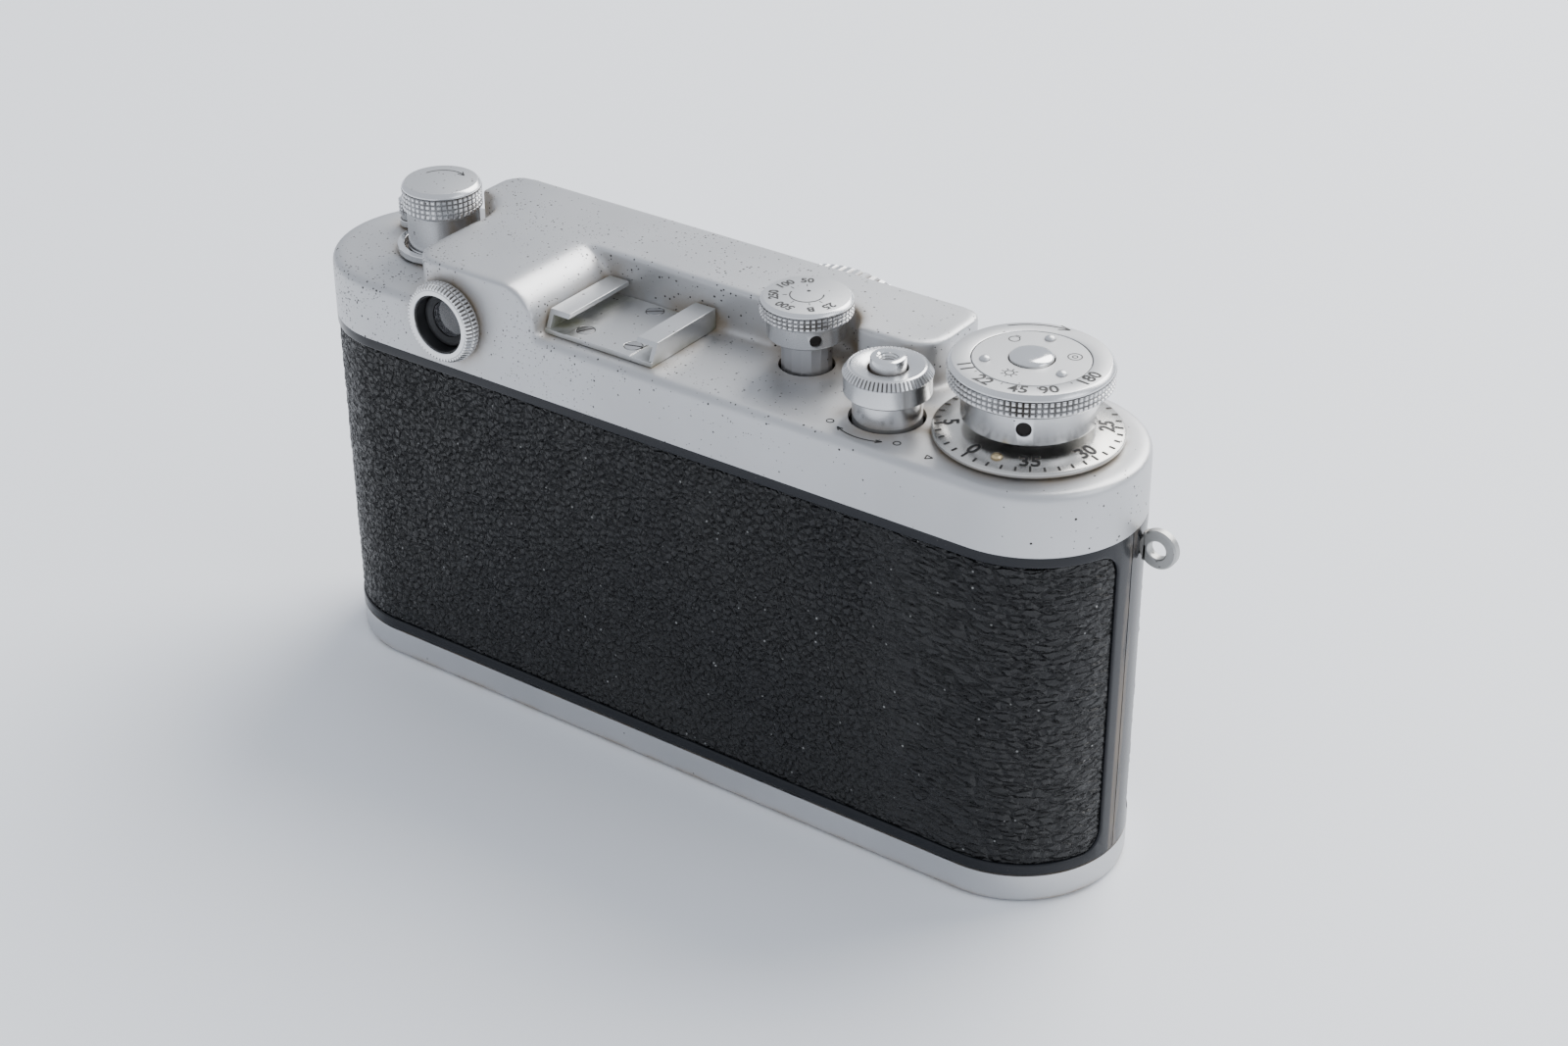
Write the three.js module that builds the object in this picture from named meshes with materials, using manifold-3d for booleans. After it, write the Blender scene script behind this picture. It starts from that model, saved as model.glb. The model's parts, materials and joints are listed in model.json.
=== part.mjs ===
// A 35 mm rangefinder camera with a screw-mount lens, as an assembly of separate pieces.
// Millimetres, +Z up. The origin is the centre of the flat base. The lens looks along -Y,
// the photographer stands on the +Y side, and the rewind knob is on the +X side.
import * as THREE from "three";
import { mergeVertices } from "three/addons/utils/BufferGeometryUtils.js";
import Module from "manifold-3d";

const wasm = await Module();
wasm.setup();

// ---------------------------------------------------------------- driving dimensions
const BODY_WIDTH = 140; // across the rounded ends
const BODY_DEPTH = 32.4; // front to back without the lens
const BASE_HEIGHT = 4.6; // chrome base tray
const SHELL_TOP = 57.4; // seam between the black shells and the top cover
const DECK_TOP = SHELL_TOP + 9.4; // low deck of the top cover
const RIDGE_TOP = DECK_TOP + 7.2; // raised rangefinder housing
const PLAY = 0.3; // air between neighbouring pieces
const RUNNING = 0.35; // air round a turning shaft
const SKIN_FIT = 0.1; // air round the inlaid covering

const COVER_WALL = 1.2;
const BASE_WALL = 1.2;
const FRONT_WALL = 1.8;
const BACK_WALL = 1.2;
const SKIN_RECESS = 0.7; // depth of the recess that takes the covering
const SKIN_LOW = 6.5;
const SKIN_HIGH = SHELL_TOP - 1.9;
const BACK_SKIN_EDGE = 3.2; // where the rear covering stops on the rounded ends
const FRONT_SKIN_EDGE = 5.0;
const COVER_ROUND = 1.8; // rounding of the top cover's edges

const WIND_X = 17 - BODY_WIDTH / 2; // wind knob, spool and counter
const WIND_KNOB_R = 11.38;
const WIND_COLLAR_R = 9.36;
const WIND_KNOB_TOP = DECK_TOP + 11.6;
const WIND_KNURL_LOW = WIND_KNOB_TOP - 3.5;
const WIND_SHAFT_R = 3.0;
const COUNTER_R = 13.2;
const COUNTER_T = 1.5;
const REMINDER_R = 8.1; // film reminder disc inlaid in the wind knob
const REMINDER_T = 0.8;
const CAP_R = 3.03;

const CLUTCH_X = WIND_X + 18.6; // release button and rewind clutch collar
const CLUTCH_Y = 6.5;
const CLUTCH_R = 6.4;
const CLUTCH_TOP = DECK_TOP + 7.95;
const CLUTCH_LOW = CLUTCH_TOP - 4.15;
const CLUTCH_SHAFT_R = 4.91;
const BUTTON_R = 2.52;
const BUTTON_TOP = CLUTCH_TOP + 1.35;

const SPEED_X = CLUTCH_X + 18.1; // shutter speed dial over the shutter drum
const SPEED_R = 6.72;
const SPEED_COLLAR_R = SPEED_R - 1.04;
const SPEED_TOP = DECK_TOP + 10.8;
const SPEED_LOW = SPEED_TOP - 6.1;
const SPEED_SPINDLE_R = 3.69;
const SPEED_POST_R = 1.7;
const SPEED_LIFT = 2.0; // the dial is lifted this far before it turns

const REWIND_X = BODY_WIDTH / 2 - 18; // rewind knob, fork and cassette
const REWIND_R = 6.15;
const REWIND_NECK_R = REWIND_R - 0.2;
const REWIND_TOP = DECK_TOP + 11.4;
const REWIND_SHAFT_R = 2.4;
const DIOPTRE_RING_R = REWIND_NECK_R + 1.45;
const DIOPTRE_ARM = DIOPTRE_RING_R + 3.1; // from the knob's axis to the finger peg
const DIOPTRE_ANGLE = -19; // degrees from +X
const PEG_R = 2.0;

const RIDGE_LEFT = CLUTCH_X - 1.6; // wind-side end of the ridge
const RIDGE_RIGHT = REWIND_X - 1;
const RIDGE_REAR = -1.75;
const BLOCK_INNER = REWIND_X - 31.2; // foot of the finder block's rounded flank
const FLANK_R = 5.8;
const DIAL_RECESS_R = SPEED_R + 0.58;
const KNOB_RECESS_R = REWIND_R + 1.65;

const EYE_X = REWIND_X - 15; // eyepiece and finder axis
const EYE_Z = DECK_TOP - 1.4;
const EYE_RING_R = 6.2;
const EYE_BORE_R = 4.6;
const EYE_RING_OUT = BODY_DEPTH / 2 + 2.8;
const WINDOW_Z = DECK_TOP + 0.4;
const WINDOW_W = 11;
const WINDOW_H = 8;
const RANGE_X = CLUTCH_X + 4.4; // second rangefinder window
const RANGE_R = 4;
const SYNC_X = WIND_X + 7;
const SYNC_Z = DECK_TOP - 4.8;

const SHOE_X0 = BLOCK_INNER - 20; // accessory shoe
const SHOE_X1 = SHOE_X0 + 19.6;
const SHOE_Y0 = RIDGE_REAR + 0.45;
const SHOE_Y1 = BODY_DEPTH / 2 - 2.2;
const SHOE_PLATE_T = 0.7;
const SHOE_RAIL_TOP = DECK_TOP + 3.4;
const SHOE_LIP = 3.6;
const SHOE_SCREW_R = 1.35;

const LENS_X = 6;
const LENS_Z = SHELL_TOP - 23.4;
const MOUNT_R = 23.0;
const THROAT_R = 19.6; // 39 mm screw mount
const FLANGE_Y = BODY_DEPTH / 2 + 2.1; // distance of the mount's face from the body's middle
const FOCUS_R = 24.5;
const FOCUS_BORE_R = 18;
const BARREL_TUBE_R = 14.8;
const BARREL_HEAD_R = 17.5;
const NOSE_R = 15.4;
const LENS_FRONT = FLANGE_Y + 34;
const FILM_Y = BODY_DEPTH / 2 - 5.8; // film plane's rails
const GATE_W = 36;
const GATE_H = 24;

const LUG_Z = SHELL_TOP - 3.4;
const LUG_OUT = BODY_WIDTH / 2 + 5.3;
const LUG_T = 1.6;
const LUG_Y = -3;

const KEY_X = BODY_WIDTH / 2 - 18; // lock keys in the base
const KEY_R = 7.7;
const TRIPOD_X = (CLUTCH_X + SPEED_X) / 2 + 0.35;
const TRIPOD_R = 5.5;
const TRIPOD_BORE_R = 3.15;

const ROUND = 24; // sides of a large round piece
const SMALL = 16; // sides of a small one
const END_STEPS = 12; // steps round each end of the body
const CORNER_STEPS = 5; // steps round each corner of the rangefinder housing

// ---------------------------------------------------------------- materials
const finish = (color, metalness, roughness) =>
  new THREE.MeshStandardMaterial({ color, metalness, roughness });
const SATIN_CHROME = finish(0xc9ccd0, 0.9, 0.42);
const BRIGHT_CHROME = finish(0xd8dadd, 1.0, 0.2);
const BLACK_PAINT = finish(0x17181b, 0.2, 0.3);
const LEATHERETTE = finish(0x1b1c1f, 0.0, 0.7);
const STEEL = finish(0x8d9094, 0.9, 0.45);
const BRASS = finish(0xa88b52, 0.9, 0.4);
const DARK = finish(0x101012, 0.1, 0.8);
const GLASS = finish(0x9fb0bd, 0.0, 0.05);

// ---------------------------------------------------------------- making solids
// Turns a closed geometry into a solid with its faces outwards.
function solid(geometry) {
  const bare = geometry.index ? geometry.toNonIndexed() : geometry.clone();
  bare.deleteAttribute("normal");
  bare.deleteAttribute("uv");
  const merged = mergeVertices(bare, 1e-4);
  const points = merged.attributes.position;
  const corners = merged.index.array;
  const a = new THREE.Vector3();
  const b = new THREE.Vector3();
  const c = new THREE.Vector3();
  const kept = [];
  let volume = 0;
  for (let i = 0; i < corners.length; i += 3) {
    const [p, q, r] = [corners[i], corners[i + 1], corners[i + 2]];
    if (p === q || q === r || r === p) continue; // collapsed at a pole
    a.fromBufferAttribute(points, p);
    b.fromBufferAttribute(points, q);
    c.fromBufferAttribute(points, r);
    volume += a.dot(b.cross(c));
    kept.push(p, q, r);
  }
  if (volume < 0) kept.reverse();
  const mesh = new wasm.Mesh({
    numProp: 3,
    vertProperties: new Float32Array(points.array),
    triVerts: new Uint32Array(kept),
  });
  return new wasm.Manifold(mesh);
}

const join = (first, ...others) => others.reduce((sum, next) => sum.add(next), first);
const cut = (first, ...others) => others.reduce((rest, next) => rest.subtract(next), first);

function block(x0, x1, y0, y1, z0, z1) {
  const geometry = new THREE.BoxGeometry(x1 - x0, y1 - y0, z1 - z0);
  return solid(geometry.translate((x0 + x1) / 2, (y0 + y1) / 2, (z0 + z1) / 2));
}

function prism(shape, z0, z1, steps = END_STEPS) {
  const geometry = new THREE.ExtrudeGeometry(shape, {
    depth: z1 - z0,
    bevelEnabled: false,
    curveSegments: steps,
  });
  return solid(geometry.translate(0, 0, z0));
}

// A prism from z0 to z1 whose upper edge is rounded.
function crownedPrism(shape, z0, z1, radius, steps = END_STEPS) {
  const geometry = new THREE.ExtrudeGeometry(shape, {
    depth: z1 - z0,
    bevelThickness: radius,
    bevelSize: radius,
    bevelOffset: -radius,
    bevelSegments: 2,
    curveSegments: steps,
  });
  const raised = solid(geometry.translate(0, 0, z0 - radius));
  const far = 2 * BODY_WIDTH;
  return raised.intersect(block(-far, far, -far, far, z0, z1 + 1));
}

// A turned piece. Its profile is [radius, height] pairs; one that stays off the axis is a ring.
function turned(profile, sides = ROUND) {
  const points = profile.map(([r, h]) => new THREE.Vector2(r, h));
  if (profile[0][0] > 0) points.push(points[0].clone());
  return new THREE.LatheGeometry(points, sides);
}
const turnedUp = (profile, x, y, sides) =>
  solid(turned(profile, sides).rotateX(Math.PI / 2).translate(x, y, 0));
// Heights run forwards, along -Y.
const turnedForwards = (profile, x, z, sides) =>
  solid(turned(profile, sides).rotateX(Math.PI).translate(x, 0, z));
const rod = (r, z0, z1, x, y, sides = SMALL) =>
  turnedUp([[0, z0], [r, z0], [r, z1], [0, z1]], x, y, sides);
const tube = (inner, outer, z0, z1, x, y, sides = ROUND) =>
  turnedUp([[inner, z0], [outer, z0], [outer, z1], [inner, z1]], x, y, sides);
const forwardRod = (r, y0, y1, x, z, sides = SMALL) =>
  turnedForwards([[0, -y1], [r, -y1], [r, -y0], [0, -y0]], x, z, sides);
const forwardTube = (inner, outer, y0, y1, x, z, sides = ROUND) =>
  turnedForwards([[inner, -y1], [outer, -y1], [outer, -y0], [inner, -y0]], x, z, sides);

const camera = new THREE.Group();
function piece(name, material, shape, parent = camera) {
  const { vertProperties, triVerts } = shape.getMesh();
  const geometry = new THREE.BufferGeometry();
  geometry.setAttribute("position", new THREE.BufferAttribute(new Float32Array(vertProperties), 3));
  geometry.setIndex(new THREE.BufferAttribute(new Uint32Array(triVerts), 1));
  geometry.computeVertexNormals();
  const mesh = new THREE.Mesh(geometry, material);
  mesh.name = name;
  parent.add(mesh);
  return mesh;
}

// ---------------------------------------------------------------- outlines
const FAR = 200;
const behind = (y) => block(-FAR, FAR, y, FAR, -FAR, FAR);
const ahead = (y) => block(-FAR, FAR, -FAR, y, -FAR, FAR);

// The body's plan: straight sides and half-round ends, moved inwards by inset.
function bodyOutline(inset = 0) {
  const r = BODY_DEPTH / 2 - inset;
  const centre = BODY_WIDTH / 2 - BODY_DEPTH / 2;
  const shape = new THREE.Shape();
  shape.absarc(centre, 0, r, -Math.PI / 2, Math.PI / 2, false);
  shape.absarc(-centre, 0, r, Math.PI / 2, Math.PI * 1.5, false);
  shape.closePath();
  return shape;
}
const wall = (outer, inner, z0, z1) =>
  cut(prism(bodyOutline(outer), z0, z1), prism(bodyOutline(inner), z0 - 1, z1 + 1));

// The plan of the rangefinder housing with the finder block, moved inwards by inset.
// Its rear wall makes way for the speed dial, and its end for the rewind knob.
function housingOutline(inset = 0) {
  const front = -BODY_DEPTH / 2 + inset;
  const rear = RIDGE_REAR - inset;
  const blockRear = BODY_DEPTH / 2 - inset;
  const left = RIDGE_LEFT + inset;
  const right = RIDGE_RIGHT - inset;
  const inner = BLOCK_INNER + inset;
  const corner = 4 - inset;
  const dial = DIAL_RECESS_R + inset;
  const knob = KNOB_RECESS_R + inset;
  const dialHalf = Math.sqrt(dial * dial - rear * rear);
  const dialAngle = Math.atan2(rear, dialHalf);
  const flank = REWIND_X - knob; // the block's side, tangent to the recess
  const tipAngle = Math.atan2(-Math.sqrt(knob ** 2 - (right - REWIND_X) ** 2), right - REWIND_X);
  const shape = new THREE.Shape();
  shape.absarc(left + corner, front + corner, corner, Math.PI, Math.PI * 1.5, false);
  shape.absarc(right - corner, front + corner, corner, -Math.PI / 2, 0, false);
  shape.absarc(REWIND_X, 0, knob, tipAngle, -Math.PI, true);
  shape.absarc(flank - corner, blockRear - corner, corner, 0, Math.PI / 2, false);
  shape.lineTo(inner, blockRear);
  shape.lineTo(inner, rear);
  shape.absarc(SPEED_X, 0, dial, dialAngle, -Math.PI - dialAngle, true);
  shape.absarc(left + corner, rear - corner, corner, Math.PI / 2, Math.PI, false);
  shape.closePath();
  return shape;
}
// What is taken off the block so that its flank is a quarter round.
function flankWaste(inset = 0) {
  const r = FLANK_R - inset;
  const x = BLOCK_INNER + FLANK_R;
  const z = RIDGE_TOP - FLANK_R;
  const round = turned([[0, -FAR], [r, -FAR], [r, FAR], [0, FAR]], ROUND).translate(x, 0, z);
  const y0 = RIDGE_REAR + inset;
  return cut(block(x - FLANK_R - 1, x, y0, FAR, z, RIDGE_TOP + 1), solid(round));
}

// ---------------------------------------------------------------- top cover
const deckHole = (r, x, y = 0) => rod(r, SHELL_TOP, DECK_TOP + 1, x, y);
const clutchHoleR = CLUTCH_SHAFT_R + 0.6;
const coverOutside = join(
  crownedPrism(bodyOutline(), SHELL_TOP, DECK_TOP, COVER_ROUND),
  cut(crownedPrism(housingOutline(), SHELL_TOP, RIDGE_TOP, COVER_ROUND, CORNER_STEPS), flankWaste()),
);
const coverInside = join(
  prism(bodyOutline(COVER_WALL), SHELL_TOP - 1, DECK_TOP - COVER_WALL),
  cut(
    prism(housingOutline(COVER_WALL), SHELL_TOP - 1, RIDGE_TOP - COVER_WALL, CORNER_STEPS),
    flankWaste(COVER_WALL),
  ),
);
const finderHole = block(
  EYE_X - WINDOW_W / 2, EYE_X + WINDOW_W / 2, -BODY_DEPTH / 2 - 1, -BODY_DEPTH / 2 + 2,
  WINDOW_Z - WINDOW_H / 2, WINDOW_Z + WINDOW_H / 2,
);
piece("top_cover", SATIN_CHROME, cut(
  coverOutside,
  coverInside,
  deckHole(WIND_SHAFT_R + RUNNING, WIND_X),
  deckHole(clutchHoleR, CLUTCH_X, CLUTCH_Y),
  deckHole(SPEED_SPINDLE_R + RUNNING, SPEED_X),
  deckHole(REWIND_SHAFT_R + RUNNING, REWIND_X),
  forwardRod(EYE_BORE_R + 0.6, BODY_DEPTH / 2 - 3, BODY_DEPTH / 2 + 1, EYE_X, EYE_Z),
  forwardRod(RANGE_R, -BODY_DEPTH / 2 - 1, -BODY_DEPTH / 2 + 2, RANGE_X, WINDOW_Z),
  finderHole,
));

// ---------------------------------------------------------------- body shells and coverings
const SHELL_LOW = BASE_HEIGHT + PLAY;
const SHELL_HIGH = SHELL_TOP - PLAY;
const skinRecess = (edge) => wall(-2, SKIN_RECESS, SKIN_LOW, SKIN_HIGH).intersect(edge);
const skin = (edge) =>
  wall(0, SKIN_RECESS - SKIN_FIT, SKIN_LOW + SKIN_FIT, SKIN_HIGH - SKIN_FIT).intersect(edge);
const throat = (r) => forwardRod(r, -BODY_DEPTH / 2 - 3, -5, LENS_X, LENS_Z, ROUND);

piece("front_shell", BLACK_PAINT, cut(
  wall(0, FRONT_WALL, SHELL_LOW, SHELL_HIGH).intersect(ahead(-PLAY / 2)),
  skinRecess(ahead(-FRONT_SKIN_EDGE)),
  throat(THROAT_R),
  throat(MOUNT_R + PLAY).intersect(ahead(-BODY_DEPTH / 2 + SKIN_RECESS)),
));
piece("front_covering", LEATHERETTE, cut(
  skin(ahead(-FRONT_SKIN_EDGE - SKIN_FIT)),
  throat(MOUNT_R + PLAY),
));
piece("back_shell", BLACK_PAINT, cut(
  wall(0, BACK_WALL, SHELL_LOW, SHELL_HIGH).intersect(behind(PLAY / 2)),
  skinRecess(behind(BACK_SKIN_EDGE)),
));
piece("back_covering", LEATHERETTE, skin(behind(BACK_SKIN_EDGE + SKIN_FIT)));

// ---------------------------------------------------------------- base with its locks
const keyHoleR = KEY_R + PLAY;
piece("base_tray", SATIN_CHROME, cut(
  prism(bodyOutline(), 0, BASE_HEIGHT),
  prism(bodyOutline(BASE_WALL), BASE_WALL, BASE_HEIGHT + 1),
  rod(keyHoleR, -1, BASE_WALL + 1, KEY_X, 0, ROUND),
  rod(keyHoleR, -1, BASE_WALL + 1, -KEY_X, 0, ROUND),
  rod(TRIPOD_R + PLAY, -1, BASE_WALL + 1, TRIPOD_X, 0),
));
const TRIPOD_TOP = 7.0;
piece("tripod_bush", STEEL, turnedUp(
  [
    [0, TRIPOD_TOP - 0.8], [TRIPOD_BORE_R, TRIPOD_TOP - 0.8], [TRIPOD_BORE_R, 0],
    [TRIPOD_R, 0], [TRIPOD_R, TRIPOD_TOP], [0, TRIPOD_TOP],
  ],
  TRIPOD_X, 0, SMALL,
));
const KEY_DISC_LOW = 1.0;
const KEY_DISC_HIGH = 2.2;
const KEY_CAM_LOW = 3.1;
const KEY_CAM_HIGH = 4.3;
const BAIL_R = KEY_R - 0.7;
const BAIL_T = KEY_DISC_LOW - 2 * SKIN_FIT;
for (const [side, x] of [["rewind_side", KEY_X], ["wind_side", -KEY_X]]) {
  piece(`lock_key_${side}`, SATIN_CHROME, join(
    rod(KEY_R, KEY_DISC_LOW, KEY_DISC_HIGH, x, 0, ROUND),
    rod(2.6, KEY_DISC_HIGH - 0.2, KEY_CAM_HIGH, x, 0),
    block(x - 2, x + 2, -9, 2, KEY_CAM_LOW, KEY_CAM_HIGH),
  ));
  const bailRing = tube(BAIL_R - 2, BAIL_R, SKIN_FIT, SKIN_FIT + BAIL_T, x, 0);
  piece(`lock_bail_${side}`, SATIN_CHROME, bailRing.intersect(behind(0)));
}

// ---------------------------------------------------------------- inside the body
const FRAME_INSET = FRONT_WALL + PLAY;
const PLATE_LOW = SHELL_TOP - 1.8;
const PLATE_HIGH = SHELL_HIGH - 0.1;
const JOURNAL_R = 1.6;
const BEARING_R = JOURNAL_R + RUNNING;
const BARREL_REAR_Y = 7.3 - FLANGE_Y;
const FOLLOWER_Y = BARREL_REAR_Y + 1;
piece("top_plate", STEEL, cut(
  prism(bodyOutline(FRAME_INSET), PLATE_LOW, PLATE_HIGH),
  rod(WIND_SHAFT_R + RUNNING, PLATE_LOW - 1, PLATE_HIGH + 1, WIND_X, 0),
  rod(BEARING_R, PLATE_LOW - 1, PLATE_HIGH + 1, CLUTCH_X, CLUTCH_Y),
  rod(BEARING_R, PLATE_LOW - 1, PLATE_HIGH + 1, SPEED_X, 0),
  rod(REWIND_SHAFT_R + RUNNING, PLATE_LOW - 1, PLATE_HIGH + 1, REWIND_X, 0),
  block(LENS_X - 2.5, LENS_X + 2.5, FOLLOWER_Y - 3, FOLLOWER_Y + 3, PLATE_LOW - 1, PLATE_HIGH + 1),
));
// The lower plate stops short of the back, so that the back's pressure plate can pass it.
const LOWER_LOW = SHELL_LOW + 0.6;
const LOWER_HIGH = LOWER_LOW + 1.4;
piece("lower_plate", STEEL, cut(
  prism(bodyOutline(FRAME_INSET), LOWER_LOW, LOWER_HIGH).intersect(ahead(FILM_Y)),
  rod(BEARING_R, LOWER_LOW - 1, LOWER_HIGH + 1, WIND_X, 0),
  rod(BEARING_R, LOWER_LOW - 1, LOWER_HIGH + 1, CLUTCH_X, CLUTCH_Y),
  rod(BEARING_R, LOWER_LOW - 1, LOWER_HIGH + 1, SPEED_X, 0),
  rod(TRIPOD_R + PLAY, LOWER_LOW - 1, LOWER_HIGH + 1, TRIPOD_X, 0),
));
const ROOM_LOW = LOWER_HIGH + PLAY;
const ROOM_HIGH = PLATE_LOW - PLAY;
const GATE_X0 = (CLUTCH_X + SPEED_X) / 2 - 1.65;
const GATE_X1 = REWIND_X - 14;
const GATE_T = 1.2;
const FRAME_FRONT = -BODY_DEPTH / 2 + FRAME_INSET;
piece("film_gate", DARK, cut(
  join(
    block(GATE_X0, GATE_X1, FILM_Y - GATE_T, FILM_Y, ROOM_LOW, ROOM_HIGH),
    block(GATE_X0, GATE_X0 + GATE_T, FRAME_FRONT, FILM_Y - 0.5, ROOM_LOW, ROOM_HIGH),
    block(GATE_X1 - GATE_T, GATE_X1, FRAME_FRONT, FILM_Y - 0.5, ROOM_LOW, ROOM_HIGH),
  ),
  block(
    LENS_X - GATE_W / 2, LENS_X + GATE_W / 2, FILM_Y - 3, FILM_Y + 3,
    LENS_Z - GATE_H / 2, LENS_Z + GATE_H / 2,
  ),
));
const DRUM_R = 5.2;
const CURTAIN_Y = DRUM_R + 0.5;
const CURTAIN_H = GATE_H + 5;
piece("shutter_curtain", DARK, block(
  SPEED_X + 1, GATE_X1 - 6, CURTAIN_Y, CURTAIN_Y + 0.5,
  LENS_Z - CURTAIN_H / 2, LENS_Z + CURTAIN_H / 2,
));
piece("curtain_roller", STEEL, rod(3, ROOM_LOW, ROOM_HIGH, GATE_X1 - 4.6, 0));
const journaled = (r, x, y, topAt) => join(
  rod(r, ROOM_LOW, ROOM_HIGH, x, y, SMALL),
  rod(JOURNAL_R, LOWER_LOW + 0.2, topAt, x, y, SMALL),
);
piece("shutter_drum", STEEL, journaled(DRUM_R, SPEED_X, 0, PLATE_HIGH + 0.1));
const SPROCKET_R = 4.6;
const TEETH_R = 5.3;
const TEETH_FROM_MIDDLE = 14.2;
const sprocketTeeth = (z) => rod(TEETH_R, z - 0.8, z + 0.8, CLUTCH_X, CLUTCH_Y);
piece("sprocket_drum", STEEL, join(
  journaled(SPROCKET_R, CLUTCH_X, CLUTCH_Y, PLATE_HIGH + 0.1),
  sprocketTeeth(LENS_Z - TEETH_FROM_MIDDLE),
  sprocketTeeth(LENS_Z + TEETH_FROM_MIDDLE),
));
const SPOOL_LOW = ROOM_LOW + 1;
const SPOOL_HIGH = ROOM_HIGH - 1;
const SPOOL_FLANGE_R = 10.5;
piece("take_up_spool", DARK, join(
  rod(5.2, SPOOL_LOW, SPOOL_HIGH, WIND_X, 0),
  rod(SPOOL_FLANGE_R, SPOOL_LOW, SPOOL_LOW + 1.2, WIND_X, 0, ROUND),
  rod(SPOOL_FLANGE_R, SPOOL_HIGH - 1.2, SPOOL_HIGH, WIND_X, 0, ROUND),
  rod(JOURNAL_R, LOWER_LOW + 0.2, SPOOL_LOW + 0.5, WIND_X, 0),
));
const PLATE_SPRING_Y = FILM_Y + 3.6;
piece("pressure_plate", STEEL, block(
  GATE_X0 + 2, GATE_X1 - 2, FILM_Y + 0.9, FILM_Y + 2.1,
  LENS_Z - GATE_H / 2 - 5, LENS_Z + GATE_H / 2 + 5,
));
piece("pressure_spring", STEEL, block(
  LENS_X - 18, LENS_X + 18, PLATE_SPRING_Y, BODY_DEPTH / 2 - BACK_WALL - SKIN_FIT,
  LENS_Z - 4, LENS_Z + 4,
));

// ---------------------------------------------------------------- wind knob and counter
const COUNTER_LOW = DECK_TOP + PLAY;
const COUNTER_HIGH = COUNTER_LOW + COUNTER_T;
const COLLAR_LOW = COUNTER_HIGH + 1.2;
const RECESS_FLOOR = WIND_KNOB_TOP - REMINDER_T - PLAY;
// A grub screw goes into a knob's collar, level, at an angle from +X.
function grubScrew(x, y, z, angle, r0, r1, r) {
  const geometry = new THREE.CylinderGeometry(r, r, r1 - r0, 16);
  geometry.rotateZ(Math.PI / 2).translate((r0 + r1) / 2, 0, 0);
  return solid(geometry.rotateZ(THREE.MathUtils.degToRad(angle)).translate(x, y, z));
}
const GRUB_R = 1.0;
const WIND_GRUB_Z = WIND_KNURL_LOW - 2.4;
const WIND_GRUB_ANGLE = 116;
piece("wind_knob", SATIN_CHROME, cut(
  turnedUp(
    [
      [0, ROOM_HIGH + 0.1], [WIND_SHAFT_R, ROOM_HIGH + 0.1], [WIND_SHAFT_R, COLLAR_LOW],
      [WIND_COLLAR_R, COLLAR_LOW], [WIND_COLLAR_R, WIND_KNURL_LOW],
      [WIND_KNOB_R, WIND_KNURL_LOW], [WIND_KNOB_R, WIND_KNOB_TOP - 0.7],
      [WIND_KNOB_R - 0.7, WIND_KNOB_TOP], [REMINDER_R + 0.1, WIND_KNOB_TOP],
      [REMINDER_R + 0.1, RECESS_FLOOR], [0, RECESS_FLOOR],
    ],
    WIND_X, 0,
  ),
  grubScrew(WIND_X, 0, WIND_GRUB_Z, WIND_GRUB_ANGLE, 4, WIND_COLLAR_R + 1, GRUB_R + SKIN_FIT),
));
piece("wind_grub_screw", STEEL, grubScrew(
  WIND_X, 0, WIND_GRUB_Z, WIND_GRUB_ANGLE, 4.2, WIND_COLLAR_R - 0.4, GRUB_R,
));
piece("film_reminder_disc", SATIN_CHROME, tube(
  CAP_R + 0.1, REMINDER_R, RECESS_FLOOR + SKIN_FIT, WIND_KNOB_TOP, WIND_X, 0,
));
piece("wind_knob_cap", BRIGHT_CHROME, rod(
  CAP_R, RECESS_FLOOR + SKIN_FIT, WIND_KNOB_TOP + 0.7, WIND_X, 0,
));
const COUNTER_PIN_ANGLE = THREE.MathUtils.degToRad(97.5);
const COUNTER_PIN_AT = COUNTER_R - 2.7;
piece("frame_counter_disc", SATIN_CHROME, join(
  tube(WIND_SHAFT_R + RUNNING, COUNTER_R, COUNTER_LOW, COUNTER_HIGH, WIND_X, 0),
  rod(
    0.8, COUNTER_HIGH - 0.5, COUNTER_HIGH + 0.6,
    WIND_X + COUNTER_PIN_AT * Math.cos(COUNTER_PIN_ANGLE),
    COUNTER_PIN_AT * Math.sin(COUNTER_PIN_ANGLE), 12,
  ),
));

// ---------------------------------------------------------------- release and rewind clutch
const BUTTON_BORE_R = BUTTON_R + RUNNING;
piece("clutch_collar", SATIN_CHROME, turnedUp(
  [
    [BUTTON_BORE_R, SHELL_TOP + PLAY], [CLUTCH_SHAFT_R, SHELL_TOP + PLAY],
    [CLUTCH_SHAFT_R, CLUTCH_LOW], [CLUTCH_R, CLUTCH_LOW], [CLUTCH_R, CLUTCH_TOP - 0.9],
    [CLUTCH_R - 0.5, CLUTCH_TOP], [BUTTON_BORE_R, CLUTCH_TOP],
  ],
  CLUTCH_X, CLUTCH_Y,
));
const BUTTON_HOLE_R = 1.3;
const BUTTON_TRAVEL = 2.5;
piece("release_button", BRIGHT_CHROME, turnedUp(
  [
    [0, SHELL_TOP + BUTTON_TRAVEL], [BUTTON_R, SHELL_TOP + BUTTON_TRAVEL],
    [BUTTON_R, BUTTON_TOP - 0.3], [BUTTON_R - 0.3, BUTTON_TOP], [BUTTON_HOLE_R, BUTTON_TOP],
    [BUTTON_HOLE_R, BUTTON_TOP - 3], [0, BUTTON_TOP - 3],
  ],
  CLUTCH_X, CLUTCH_Y, SMALL,
));

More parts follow.
